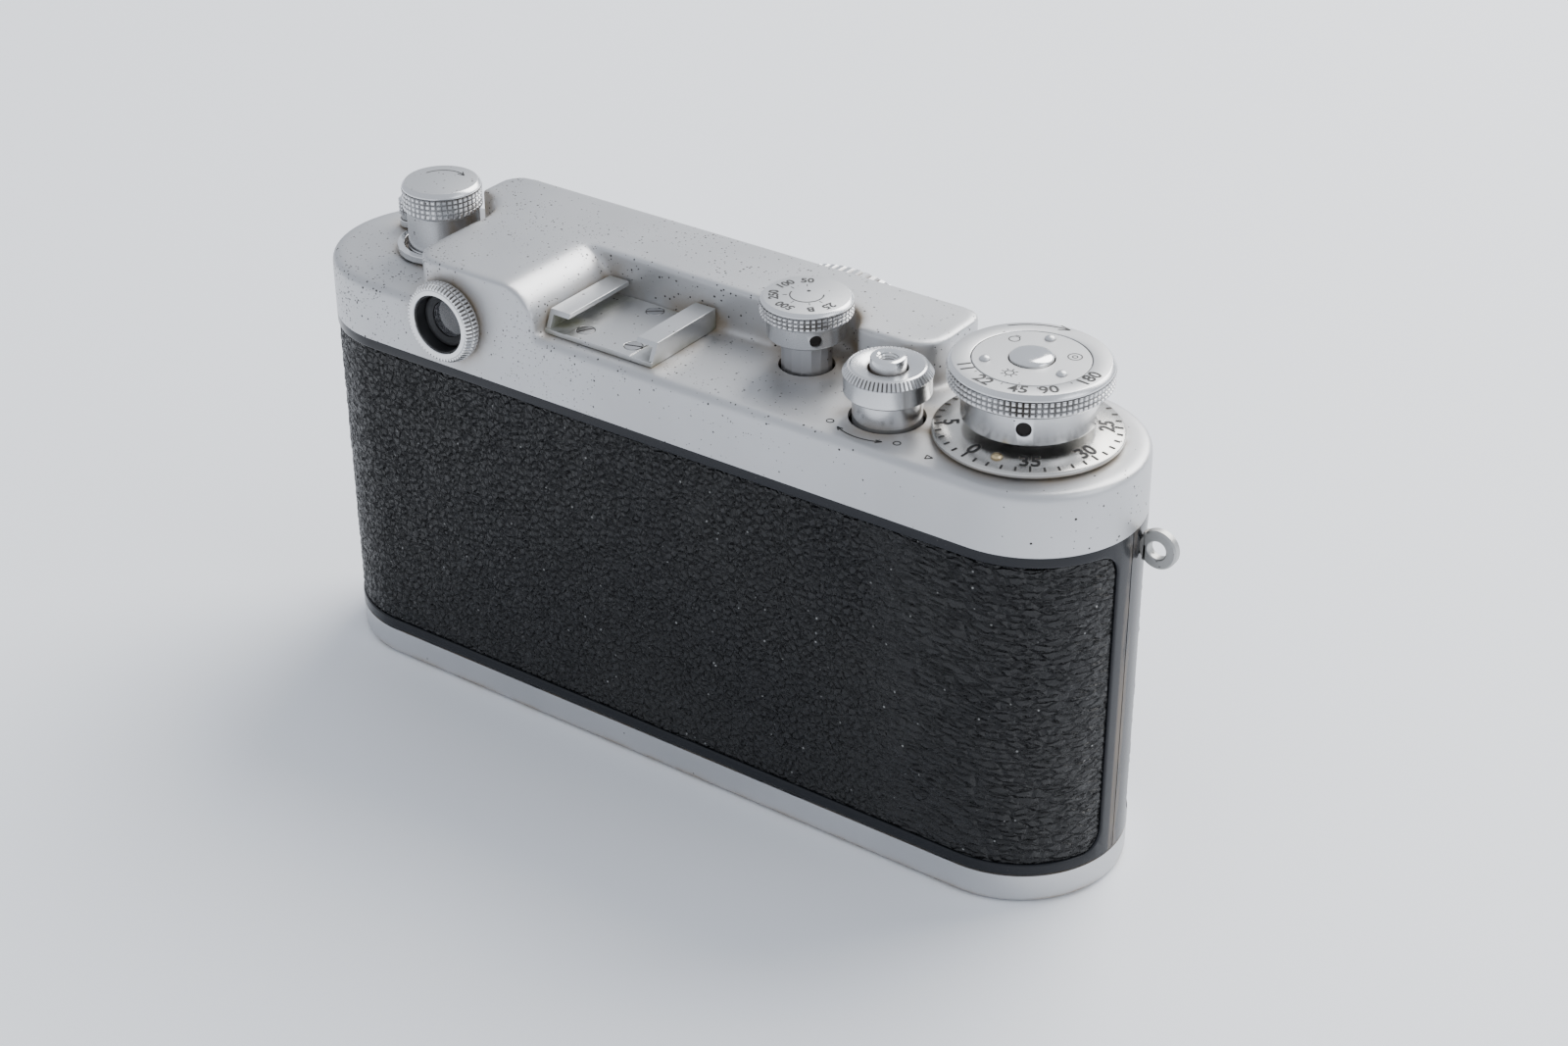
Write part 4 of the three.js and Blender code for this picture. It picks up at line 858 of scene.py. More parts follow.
WIND_TOP = box_mm("wind_knob")[1].z
WIND_R = (box_mm("wind_knob")[1].x - box_mm("wind_knob")[0].x) / 2
WIND_FOOT = box_mm("wind_knob")[0].z
wind_collar_r = 9.36
wind_knob = turned_bm([
    [0, WIND_FOOT], [3.0, WIND_FOOT], [3.0, WIND_TOP - 8.6], [9.0, WIND_TOP - 8.6],
    [wind_collar_r, WIND_TOP - 8.25], [wind_collar_r, WIND_TOP - 4.0],
    [9.9, WIND_TOP - 3.75], [WIND_R - 0.55, WIND_TOP - 3.55], [WIND_R - 0.38, WIND_TOP - 3.3],
    [WIND_R - 0.38, WIND_TOP - 0.95], [WIND_R - 0.05, WIND_TOP - 0.82],
    [WIND_R - 0.08, WIND_TOP - 0.55], [WIND_R - 0.62, WIND_TOP], [8.25, WIND_TOP],
    [8.15, WIND_TOP - 0.1], [8.15, WIND_TOP - 0.9], [0, WIND_TOP - 0.9],
], 84)
soften(wind_knob, 0.09, 2)
knurl(wind_knob, WIND_R - 0.38, WIND_TOP - 3.25, WIND_TOP - 0.98, 3, 0.36, 0.20)
wind_knob = collar_with_grub(wind_knob, wind_collar_r, WIND_TOP - 5.9, 116, GRUB_R + 0.08)
move(wind_knob, wind.x)
put_piece("wind_knob_turned", wind_knob, KNOB_CHROME, "wind_knob", ("wind_knob",),
          sharp=30, top=KNOB_SATIN)


def carried_over(material, *nodes):
    """Gives machined parts that are right as they are their finish."""
    for node in nodes:
        carried = bpy.data.objects[node]
        for material_slot in carried.material_slots:
            material_slot.material = material


# Grub screws: blackened steel, made near black so that it paints the shade inside their holes in the
# collars.
GRUB_HOLE_SHADE_STEEL = plated("grub_hole_shade_steel", (0.03, 0.028, 0.027), 0.5, (0.03, 0.02, 0.015), 0.2, 0.4,
                    reach=0.001)
carried_over(GRUB_HOLE_SHADE_STEEL, "wind_grub_screw", "speed_grub_screw")

# ---------------------------------------------------------------------------------------
# Film reminder disc: a satin disc let into the wind knob, with three raised pips to turn it
# by and a small sign for each kind of film. A polished screw cap holds it.


def joined(*parts):
    """Puts several closed meshes into one bmesh."""
    whole = bmesh.new()
    for part in parts:
        mesh = bpy.data.meshes.new("part")
        part.to_mesh(mesh)
        part.free()
        whole.from_mesh(mesh)
        bpy.data.meshes.remove(mesh)
    return whole


def polar(radius, degrees):
    return radius * math.cos(math.radians(degrees)), radius * math.sin(math.radians(degrees))


reminder_parts = [turned_bm([
    [3.15, WIND_TOP - 0.75], [8.0, WIND_TOP - 0.75], [8.05, WIND_TOP - 0.1], [7.95, WIND_TOP],
    [3.25, WIND_TOP], [3.15, WIND_TOP - 0.1],
], 96)]
for pip_r, pip_angle in ((6.3, 38), (6.3, -82), (6.0, 162)):
    pip = turned_bm([[0, -0.2], [0.78, -0.2], [0.80, 0.0], [0.72, 0.22], [0.5, 0.42],
                     [0.22, 0.52], [0, 0.55]], 20)
    pip_x, pip_y = polar(pip_r, pip_angle)
    move(pip, pip_x, pip_y, WIND_TOP)
    reminder_parts.append(pip)
reminder = joined(*reminder_parts)
move(reminder, wind.x)
put_piece("film_reminder_engraved", reminder, KNOB_SATIN, "film_reminder",
          ("film_reminder_disc",), sharp=30)

cap_top = box_mm("wind_knob_cap")[1].z
cap = turned_bm([
    [0, WIND_TOP - 0.8], [3.03, WIND_TOP - 0.8], [3.03, cap_top - 0.45], [2.8, cap_top - 0.2],
    [2.35, cap_top - 0.04], [1.2, cap_top], [0, cap_top],
], 64)
soften(cap, 0.05, 2, 35)
move(cap, wind.x)
put_piece("wind_knob_cap_polished", cap, BRIGHT_CHROME, "wind_knob", ("wind_knob_cap",),
          sharp=30)

# ---------------------------------------------------------------------------------------
# Frame counter: a thin coned disc under the wind knob, its plating worn to brass on the
# rim, with a stroke for each frame, a number every five and a brass pin to set it by.
counter_low, counter_high = box_mm("frame_counter_disc")
COUNTER_R = (counter_high.x - counter_low.x) / 2
COUNTER_TOP = counter_low.z + 1.5
counter = turned_bm([
    [3.4, counter_low.z], [COUNTER_R - 0.3, counter_low.z], [COUNTER_R, counter_low.z + 0.25],
    [COUNTER_R, COUNTER_TOP - 0.75], [COUNTER_R - 0.35, COUNTER_TOP - 0.5],
    [9.2, COUNTER_TOP], [3.4, COUNTER_TOP],
], 160)
soften(counter, 0.06, 2, 30)
pin = turned_bm([[0, -0.6], [0.78, -0.6], [0.8, 0.25], [0.6, 0.5], [0.25, 0.6], [0, 0.62]], 20)
pin_x, pin_y = polar(10.5, 97.5)
move(pin, pin_x + wind.x, pin_y, COUNTER_TOP - 0.25)
move(counter, wind.x)
RIM_WORN = plated("rim_worn_chrome", (0.58, 0.57, 0.545), 0.26, (0.20, 0.13, 0.05), 0.7, 0.6,
                  reach=0.0012, pit_scale=2600.0)
put_piece("frame_counter_coned", counter, RIM_WORN, "frame_counter",
          ("frame_counter_disc",), sharp=30)
OLD_BRASS = plated("old_brass", (0.62, 0.50, 0.30), 0.28, (0.10, 0.06, 0.03), 0.3, 0.5,
                   reach=0.001)
put_piece("frame_counter_pin", pin, OLD_BRASS, "frame_counter", sharp=30)

# ---------------------------------------------------------------------------------------
# Release button and rewind clutch: a ribbed collar that turns to free the sprocket, round a
# polished button with a threaded socket for a cable release.
collar_low, collar_high = box_mm("clutch_collar")
CLUTCH_TOP = collar_high.z
CLUTCH_R = (collar_high.x - collar_low.x) / 2
clutch_piece = turned_bm([
    [2.87, collar_low.z], [4.91, collar_low.z], [4.91, CLUTCH_TOP - 4.15],
    [5.9, CLUTCH_TOP - 4.15], [6.15, CLUTCH_TOP - 3.9], [6.15, CLUTCH_TOP - 1.75],
    [CLUTCH_R - 0.18, CLUTCH_TOP - 1.5], [CLUTCH_R - 0.18, CLUTCH_TOP - 1.3],
    [5.35, CLUTCH_TOP - 0.15], [5.1, CLUTCH_TOP], [3.6, CLUTCH_TOP - 0.12],
    [2.87, CLUTCH_TOP - 0.5],
], 62)
ribs = []
for face in clutch_piece.faces:
    middle = face.calc_center_median()
    if CLUTCH_TOP - 1.2 < middle.z < CLUTCH_TOP - 0.3 and math.hypot(middle.x, middle.y) > 5.4:
        ribs.append(face)
bmesh.ops.inset_individual(clutch_piece, faces=ribs, thickness=0.13, depth=0.22,
                           use_even_offset=True)
move(clutch_piece, clutch.x, clutch.y)
put_piece("clutch_collar_ribbed", clutch_piece, KNOB_CHROME, "clutch_collar",
          ("clutch_collar",), sharp=30)

button_low, button_high = box_mm("release_button")
BUTTON_TOP = button_high.z
thread = []
for i in range(6):
    thread += [[1.32, BUTTON_TOP - 0.45 - i * 0.4], [1.14, BUTTON_TOP - 0.65 - i * 0.4]]
button = turned_bm(
    [[0, button_low.z], [2.52, button_low.z], [2.52, BUTTON_TOP - 0.35],
     [2.4, BUTTON_TOP - 0.12], [2.1, BUTTON_TOP], [1.6, BUTTON_TOP], [1.36, BUTTON_TOP - 0.25]]
    + thread + [[1.2, BUTTON_TOP - 3.0], [0, BUTTON_TOP - 3.0]], 64)
move(button, clutch.x, clutch.y)
put_piece("release_button_polished", button, BRIGHT_CHROME, "release_button",
          ("release_button",), sharp=30)

# ---------------------------------------------------------------------------------------
# Speed dial: turned and chromed like the wind knob, smaller, on a bush that lets it be
# lifted and turned over its spindle.
dial_low, dial_high = box_mm("speed_dial")
SPEED_TOP = dial_high.z
SPEED_R = (dial_high.x - dial_low.x) / 2
dial = turned_bm([
    [0, SPEED_TOP - 1.9], [3.5, SPEED_TOP - 1.9], [3.5, SPEED_TOP - 6.1],
    [5.4, SPEED_TOP - 6.1], [5.68, SPEED_TOP - 5.85], [5.68, SPEED_TOP - 3.15],
    [SPEED_R - 0.5, SPEED_TOP - 2.9], [SPEED_R - 0.34, SPEED_TOP - 2.72],
    [SPEED_R - 0.34, SPEED_TOP - 0.78], [SPEED_R - 0.04, SPEED_TOP - 0.68],
    [SPEED_R - 0.06, SPEED_TOP - 0.45], [SPEED_R - 0.5, SPEED_TOP], [0, SPEED_TOP],
], 50)
soften(dial, 0.07, 2)
knurl(dial, SPEED_R - 0.34, SPEED_TOP - 2.68, SPEED_TOP - 0.80, 3, 0.32, 0.18)
dial = collar_with_grub(dial, 5.68, SPEED_TOP - 4.6, 138, 0.9)
move(dial, speed.x)
put_piece("speed_dial_turned", dial, KNOB_CHROME, "speed_dial", ("speed_dial",),
          sharp=30, top=KNOB_SATIN)
carried_over(STEEL, "speed_spindle")
carried_over(OLD_BRASS, "speed_lift_bush", "range_follower")

# ---------------------------------------------------------------------------------------
# Rewind knob: four rows of knurl over a plain polished neck. It pulls up on its shaft. The
# dioptre lever turns on a ring round its foot and has a small knurled peg.
rewind_low, rewind_high = box_mm("rewind_knob")
REWIND_TOP = rewind_high.z
REWIND_R = (rewind_high.x - rewind_low.x) / 2
rewind_piece = turned_bm([
    [0, REWIND_TOP - 1.2], [2.75, REWIND_TOP - 1.2], [2.75, rewind_low.z],
    [5.5, rewind_low.z], [5.75, rewind_low.z + 0.2], [5.75, rewind_low.z + 0.8],
    [5.6, rewind_low.z + 0.95], [5.6, REWIND_TOP - 4.5], [5.8, REWIND_TOP - 4.3],
    [REWIND_R - 0.3, REWIND_TOP - 4.15], [REWIND_R - 0.3, REWIND_TOP - 0.95],
    [REWIND_R - 0.03, REWIND_TOP - 0.85], [REWIND_R - 0.05, REWIND_TOP - 0.55],
    [REWIND_R - 0.55, REWIND_TOP], [0, REWIND_TOP],
], 44)
soften(rewind_piece, 0.07, 2)
knurl(rewind_piece, REWIND_R - 0.3, REWIND_TOP - 4.12, REWIND_TOP - 0.97, 4, 0.3, 0.18)
move(rewind_piece, rewind.x)
put_piece("rewind_knob_turned", rewind_piece, KNOB_CHROME, "rewind_knob", ("rewind_knob",),
          sharp=30, top=KNOB_SATIN)
peg_low, peg_high = box_mm("dioptre_peg")
peg_at = centre_of("dioptre_peg")
peg = turned_bm([
    [0, peg_low.z], [1.7, peg_low.z], [1.7, peg_low.z + 0.4], [1.8, peg_high.z - 2.9],
    [1.8, peg_high.z - 0.4], [1.5, peg_high.z], [0, peg_high.z],
], 20)
knurl(peg, 1.8, peg_high.z - 2.9, peg_high.z - 0.4, 4, 0.2, 0.13)
move(peg, peg_at.x, peg_at.y)
put_piece("dioptre_peg_knurled", peg, KNOB_CHROME, "dioptre_lever", ("dioptre_peg",),
          sharp=30)
eased_copy("dioptre_lever", "dioptre_lever_eased", BRIGHT_CHROME, 0.12)

# ---------------------------------------------------------------------------------------
# Eyepiece: a screwed ring with a milled bevel round a dark recess, and the eye lens, which
# the dioptre lever shifts. Behind it lies a blackened stop.
ring_low, ring_high = box_mm("eyepiece_ring")
EYE_OUT = ring_high.y - ring_low.y


def point_rearwards(bm, x, y, z):
    """Turns a piece made round Z so that its top looks back along +Y, and puts it in place."""
    bmesh.ops.rotate(bm, verts=bm.verts, cent=(0, 0, 0), matrix=Matrix.Rotation(
        -math.pi / 2, 3, "X"))
    move(bm, x, y, z)


eye_ring = turned_bm([
    [4.6, 0], [6.0, 0], [6.0, 0.35], [6.02, EYE_OUT - 1.05], [5.45, EYE_OUT - 0.10],
    [5.35, EYE_OUT], [4.68, EYE_OUT], [4.6, EYE_OUT - 0.1],
], 60)
milled = []
for face in eye_ring.faces:
    middle = face.calc_center_median()
    reach = math.hypot(middle.x, middle.y)
    if (0.4 < middle.z < EYE_OUT - 1.3 and reach > 5.9) or (
            EYE_OUT - 1.0 < middle.z < EYE_OUT - 0.15 and 5.45 < reach < 5.98):
        milled.append(face)
bmesh.ops.inset_individual(eye_ring, faces=milled, thickness=0.16, depth=0.32,
                           use_even_offset=True)
point_rearwards(eye_ring, eye.x, ring_low.y, eye.z)
put_piece("eyepiece_ring_milled", eye_ring, BRIGHT_CHROME, "chassis", ("eyepiece_ring",),
          sharp=30)


def glass_material(name, tint, roughness=0.03):
    material, tree, shader = new_material(name, tint, 0.0, roughness,
                                          Transmission_Weight=0.9, IOR=1.52, Coat_Weight=0.3)
    smear = add_node(tree, "ShaderNodeTexNoise", in_Scale=420.0, in_Detail=5.0)
    where = add_node(tree, "ShaderNodeTexCoord")
    tree.links.new(where.outputs["Object"], smear.inputs["Vector"])
    tree.links.new(ramp(tree, smear.outputs["Fac"], 0.2, 3.2), shader.inputs["Roughness"])
    return material


OLD_GLASS = glass_material("old_glass", (0.36, 0.36, 0.38))
COATED_GLASS = glass_material("coated_glass", (0.10, 0.09, 0.15))
lens_low, lens_high = box_mm("eyepiece_lens")
eye_lens = turned_bm([
    [0, lens_low.y], [2.8, lens_low.y], [2.8, lens_high.y - 0.62], [2.2, lens_high.y - 0.46],
    [1.2, lens_high.y - 0.32], [0, lens_high.y - 0.28],
], 48)
point_rearwards(eye_lens, eye.x, 0, eye.z)
put_piece("eyepiece_lens_ground", eye_lens, OLD_GLASS, "eyepiece_lens", ("eyepiece_lens",),
          sharp=40)


def dull_black(name, color, roughness):
    """Blackened metal or paint, a little dusty."""
    material, tree, shader = new_material(name, color, 0.0, roughness)
    where = add_node(tree, "ShaderNodeTexCoord")
    dust = add_node(tree, "ShaderNodeTexNoise", in_Scale=300.0, in_Detail=6.0)
    tree.links.new(where.outputs["Object"], dust.inputs["Vector"])
    paler = tuple(c * 2.2 + 0.004 for c in color)
    tree.links.new(mix_color(tree, ramp(tree, dust.outputs["Fac"], 0.4, 0.8), color, paler),
                   shader.inputs["Base Color"])
    bump = add_node(tree, "ShaderNodeBump", in_Strength=0.3, in_Distance=0.00005)
    tree.links.new(dust.outputs["Fac"], bump.inputs["Height"])
    tree.links.new(bump.outputs["Normal"], shader.inputs["Normal"])
    return material


DARK_LACQUER = dull_black("dark_lacquer", (0.012, 0.012, 0.013), 0.55)
cell = turned_bm([
    [2.85, lens_low.y], [4.2, lens_low.y], [4.2, lens_high.y - 0.3], [3.9, lens_high.y],
    [3.5, lens_high.y], [2.85, lens_high.y - 0.4],
], 48)
point_rearwards(cell, eye.x, 0, eye.z)
put_piece("eyepiece_cell_blackened", cell, DARK_LACQUER, "eyepiece_lens",
          sharp=30)
sleeve = turned_bm([
    [4.38, lens_low.y - 0.5], [4.56, lens_low.y - 0.5], [4.56, ring_high.y - 0.35],
    [4.38, ring_high.y - 0.35],
], 48)
point_rearwards(sleeve, eye.x, 0, eye.z)
put_piece("eyepiece_sleeve_blackened", sleeve, DARK_LACQUER, "chassis",
          sharp=30)

# ---------------------------------------------------------------------------------------
# Accessory shoe: folded from sheet, chromed, its two lips turned in over the foot. Three
# countersunk slotted screws fix it to the deck.
eased_copy("accessory_shoe", "accessory_shoe_folded", SHOE_CHROME, 0.16)
for number, slot_angle in ((1, 62), (2, 18), (3, 40)):
    node = f"shoe_screw_{number}"
    screw_low, screw_high = box_mm(node)
    at = centre_of(node)
    head_r = (screw_high.x - screw_low.x) / 2
    head_top = screw_high.z + 0.12
    head = turned_bm([
        [0, screw_low.z], [head_r, screw_low.z], [head_r, head_top - 0.12],
        [head_r - 0.1, head_top], [0, head_top + 0.02],
    ], 40)
    slot_cut = box_bm((-2, -0.17, head_top - 0.4), (2, 0.17, head_top + 1))
    bmesh.ops.rotate(slot_cut, verts=slot_cut.verts, cent=(0, 0, 0),
                     matrix=Matrix.Rotation(math.radians(slot_angle), 3, "Z"))
    head = carve(head, [("DIFFERENCE", slot_cut)])
    move(head, at.x, at.y)
    put_piece(f"shoe_screw_slotted_{number}", head, STEEL, "chassis", (node,),
              sharp=30)

# ---------------------------------------------------------------------------------------
# Strap lugs: cast eyes riveted through the front shell, one at each end.
for side, sign in (("rewind_side", 1), ("wind_side", -1)):
    node = "strap_lug_" + side
    lug_low, lug_high = box_mm(node)
    lug_at = centre_of(node)
    thick = lug_high.y - lug_low.y
    outer = 2.9
    eye_x = (lug_high.x if sign > 0 else -lug_low.x) - outer
    foot_x = lug_low.x if sign > 0 else -lug_high.x
    ring = turned_bm([
        [1.35, -thick / 2 + 0.2], [1.5, -thick / 2 + 0.05], [2.65, -thick / 2 + 0.05],
        [outer, -thick / 2 + 0.3], [outer, thick / 2 - 0.3], [2.65, thick / 2 - 0.05],
        [1.5, thick / 2 - 0.05], [1.35, thick / 2 - 0.2],
    ], 48)
    bmesh.ops.rotate(ring, verts=ring.verts, cent=(0, 0, 0),
                     matrix=Matrix.Rotation(math.pi / 2, 3, "X"))
    move(ring, eye_x, lug_at.y, lug_at.z)
    root = box_bm((foot_x, lug_low.y + 0.05, lug_at.z - 2.2),
                  (eye_x - 1.5, lug_high.y - 0.05, lug_at.z + 2.2))
    soften(root, 0.25, 3)
    lug = joined(ring, root)
    if sign < 0:
        bmesh.ops.rotate(lug, verts=lug.verts, cent=(0, lug_at.y, 0),
                         matrix=Matrix.Rotation(math.pi, 3, "Z"))
    put_piece(f"strap_lug_cast_{side}", lug, WORN_CHROME, "chassis", (node,),
              sharp=35)

# ---------------------------------------------------------------------------------------
# Lens: a collapsible-style standard lens in satin chrome on the screw mount. Turned rings,
# the focus ring with straight ribs, an aperture ring in front and coated glasses.


def point_forwards(bm, x, z):
    """Turns a piece made round Z so that its heights run forwards along -Y."""
    bmesh.ops.rotate(bm, verts=bm.verts, cent=(0, 0, 0), matrix=Matrix.Rotation(
        math.pi / 2, 3, "X"))
    move(bm, x, 0, z)


LENS_CHROME = plated("lens_chrome", (0.66, 0.665, 0.675), 0.30, (0.12, 0.09, 0.06), 0.12, 0.4,
                     reach=0.0015, pit_scale=1400.0)
flange = -box_mm("lens_mount")[0].y
mount_ring = turned_bm([
    [19.6, END_R - 0.6], [23.0, END_R - 0.6], [23.0, flange - 0.3], [22.7, flange],
    [19.9, flange], [19.6, flange - 0.3],
], 120)
point_forwards(mount_ring, lens_axis.x, lens_axis.z)
put_piece("lens_mount_turned", mount_ring, BRIGHT_CHROME, "chassis", ("lens_mount",),
          sharp=30)
helix_front = -box_mm("lens_body")[0].y
lens_tube = turned_bm([
    [15.15, flange - 3.9], [19.25, flange - 3.9], [19.25, flange + 0.3],
    [23.2, flange + 0.3], [23.5, flange + 0.6], [23.5, helix_front - 0.3],
    [23.2, helix_front], [15.15, helix_front],
], 120)
point_forwards(lens_tube, lens_axis.x, lens_axis.z)
put_piece("lens_body_turned", lens_tube, LENS_CHROME, "chassis", ("lens_body",),
          sharp=30)
focus_low, focus_high = box_mm("focus_ring")
FOCUS_R = (focus_high.x - focus_low.x) / 2
focus_rear, focus_front = -focus_high.y, -focus_low.y
focus = turned_bm([
    [18.0, focus_rear], [FOCUS_R - 1.2, focus_rear], [FOCUS_R - 1.0, focus_rear + 0.2],
    [FOCUS_R - 1.0, focus_front - 10.7], [FOCUS_R - 2.3, focus_front - 9.4],
    [FOCUS_R - 2.3, focus_front - 8.5], [FOCUS_R - 0.45, focus_front - 8.3],
    [FOCUS_R - 0.45, focus_front - 2.9], [FOCUS_R - 3.0, focus_front - 0.2],
    [FOCUS_R - 3.3, focus_front], [18.0, focus_front],
], 96)
knurl(focus, FOCUS_R - 0.45, focus_front - 8.28, focus_front - 2.92, 1, 0.44, 0.38)
point_forwards(focus, lens_axis.x, lens_axis.z)
put_piece("focus_ring_ribbed", focus, LENS_CHROME, "focus_ring", ("focus_ring",),
          sharp=30)
nose = -box_mm("lens_barrel")[0].y
barrel_rear = -box_mm("lens_barrel")[1].y
barrel = turned_bm([
    [9.3, barrel_rear], [14.8, barrel_rear], [14.8, helix_front + 3.4],
    [17.5, helix_front + 3.4], [17.5, focus_front], [15.4, focus_front], [15.4, nose - 0.25],
    [15.15, nose], [14.4, nose], [14.2, nose - 0.2], [14.2, nose - 2.5], [11.8, nose - 4.8],
    [11.8, nose - 12.3], [9.3, nose - 12.3],
], 96)
point_forwards(barrel, lens_axis.x, lens_axis.z)
put_piece("lens_barrel_turned", barrel, LENS_CHROME, "lens_barrel", ("lens_barrel",),
          sharp=30)
stops_front = -box_mm("aperture_ring")[0].y
stops_rear = -box_mm("aperture_ring")[1].y
stops = turned_bm([
    [15.75, stops_rear], [20.2, stops_rear], [20.2, stops_rear + 0.5],
    [20.05, stops_front - 1.0], [19.2, stops_front], [15.75, stops_front],
], 90)
knurl(stops, 20.15, stops_rear + 0.1, stops_front - 0.9, 1, 0.3, 0.3)
point_forwards(stops, lens_axis.x, lens_axis.z)
put_piece("aperture_ring_milled", stops, LENS_CHROME, "aperture_ring", ("aperture_ring",),
          sharp=30)
front_low, front_high = box_mm("front_glass")
front_rim = -front_high.y
front_lens = turned_bm([
    [0, front_rim], [11.6, front_rim], [11.6, front_rim + 3.0], [10.6, front_rim + 3.7],
    [8.6, front_rim + 4.3], [6.0, front_rim + 4.7], [3.0, front_rim + 4.93],
    [0, front_rim + 5.0],
], 64)
point_forwards(front_lens, lens_axis.x, lens_axis.z)
put_piece("front_glass_coated", front_lens, COATED_GLASS, "lens_barrel", ("front_glass",),
          sharp=40)
carried_over(COATED_GLASS, "rear_glass")
carried_over(DARK_LACQUER, "iris")

# ---------------------------------------------------------------------------------------
# Front windows and flash socket: bright bezels let into the front of the top cover.
eased_copy("finder_bezel", "finder_bezel_eased", BRIGHT_CHROME, 0.25)
eased_copy("range_bezel", "range_bezel_eased", BRIGHT_CHROME, 0.25)
eased_copy("sync_socket", "sync_socket_eased", BRIGHT_CHROME, 0.2)
carried_over(OLD_GLASS, "finder_window", "range_window", "beam_splitter", "range_prism")

# ---------------------------------------------------------------------------------------
# Works: nickelled steel plates, drums and rollers, blackened where film or light passes.
carried_over(STEEL, "top_plate", "lower_plate", "shutter_drum", "sprocket_drum",
             "curtain_roller", "pressure_plate", "pressure_spring", "rewind_fork")
carried_over(DARK_LACQUER, "film_gate", "take_up_spool")


def curtain_cloth():
    """Rubberised black silk with its fine weave."""
    material, tree, shader = new_material("curtain_cloth", (0.02, 0.02, 0.022), 0.0, 0.8)
    where = add_node(tree, "ShaderNodeTexCoord")
    across = add_node(tree, "ShaderNodeTexWave", bands_direction="X", in_Scale=2600.0)
    along = add_node(tree, "ShaderNodeTexWave", bands_direction="Z", in_Scale=2600.0)
    for wave in (across, along):
        tree.links.new(where.outputs["Object"], wave.inputs["Vector"])
    weave = combine(tree, "MULTIPLY", across.outputs["Fac"], along.outputs["Fac"])
    tree.links.new(mix_color(tree, weave, (0.014, 0.014, 0.015), (0.03, 0.03, 0.032)),
                   shader.inputs["Base Color"])
    bump = add_node(tree, "ShaderNodeBump", in_Strength=0.5, in_Distance=0.00005)
    tree.links.new(weave, bump.inputs["Height"])
    tree.links.new(bump.outputs["Normal"], shader.inputs["Normal"])
    return material


carried_over(curtain_cloth(), "shutter_curtain")

# ---------------------------------------------------------------------------------------
# Engraving: fine cut strokes filled with black. Numbers are cut round the dials, with a
# stroke for each setting, and arrows show the way the knobs turn.
INK = dull_black("engraving_ink", (0.018, 0.017, 0.016), 0.6)
INK_T = 0.04


def ink_text(text, height, x, y, z, turn):
    """A flat number of a given height, centred on a place and turned about Z."""
    curve = bpy.data.curves.new("cut_text", "FONT")
    curve.body = text
    curve.size = height * 1.6
    curve.align_x = "CENTER"
    curve.align_y = "CENTER"
    curve.extrude = INK_T / 2
    curve.offset = 0.055
    curve.resolution_u = 3
    letter = bpy.data.objects.new("cut_text", curve)
    scene.collection.objects.link(letter)
    bpy.context.view_layer.update()
    mesh = bpy.data.meshes.new_from_object(
        letter.evaluated_get(bpy.context.evaluated_depsgraph_get()))
    bpy.data.objects.remove(letter)
    bm = bmesh.new()
    bm.from_mesh(mesh)
    bmesh.ops.remove_doubles(bm, verts=bm.verts, dist=0.0002)
    bmesh.ops.rotate(bm, verts=bm.verts, cent=(0, 0, 0), matrix=Matrix.Rotation(
        math.radians(turn), 3, "Z"))
    move(bm, x, y, z)
    return bm


def ink_bar(start, end, width, z):
    """A straight cut stroke between two places."""
    start, end = Vector(start), Vector(end)
    bm = box_bm((0, -width / 2, -INK_T / 2), ((end - start).length, width / 2, INK_T / 2))
    bmesh.ops.rotate(bm, verts=bm.verts, cent=(0, 0, 0), matrix=Matrix.Rotation(
        math.atan2(end.y - start.y, end.x - start.x), 3, "Z"))
    move(bm, start.x, start.y, z)
    return bm


def ink_arc(radius, start, end, width, z):
    """A cut arc about the origin between two angles in degrees."""
    bm = bmesh.new()
    r0, r1 = radius - width / 2, radius + width / 2
    section = [bm.verts.new((r, 0, h)) for r, h in (
        (r0, -INK_T / 2), (r1, -INK_T / 2), (r1, INK_T / 2), (r0, INK_T / 2))]
    face = bm.faces.new(section)
    bmesh.ops.rotate(bm, verts=bm.verts, cent=(0, 0, 0), matrix=Matrix.Rotation(
        math.radians(start), 3, "Z"))
    spun = bmesh.ops.spin(bm, geom=[face] + face.edges[:] + section, cent=(0, 0, 0),
                          axis=(0, 0, 1), dvec=(0, 0, 0), angle=math.radians(end - start),
                          steps=max(int(abs(end - start) / 4), 2), use_merge=False,
                          use_duplicate=False)
    bmesh.ops.remove_doubles(bm, verts=bm.verts, dist=0.0002)
    bmesh.ops.recalc_face_normals(bm, faces=bm.faces)
    move(bm, 0, 0, z)
    return bm


def arrow(radius, start, tip, width, z, barb=1.1):
    """An arc that ends in an open arrowhead."""
    x, y = polar(radius, tip)
    way = 1 if tip > start else -1
    parts = [ink_arc(radius, start, tip, width, z)]
    back = barb / radius * 57.3 * way
    for spread in (-0.42, 0.42):
        bx, by = polar(radius + spread * barb, tip - back)
        parts.append(ink_bar((x, y, 0), (bx, by, 0), width, z))
    return parts


def put_ink(name, parts, body, x=0, y=0):
    ink = joined(*parts)
    move(ink, x, y)
    bmesh.ops.recalc_face_normals(ink, faces=ink.faces)
    return put_piece(name, ink, INK, body, sharp=30)


def dial_number(text, radius, degrees, height, z, tops_out=False):
    """A number cut round a dial, its top towards the axis unless tops_out is set."""
    x, y = polar(radius, degrees)
    return ink_text(text, height, x, y, z, degrees + (-90 if tops_out else 90))


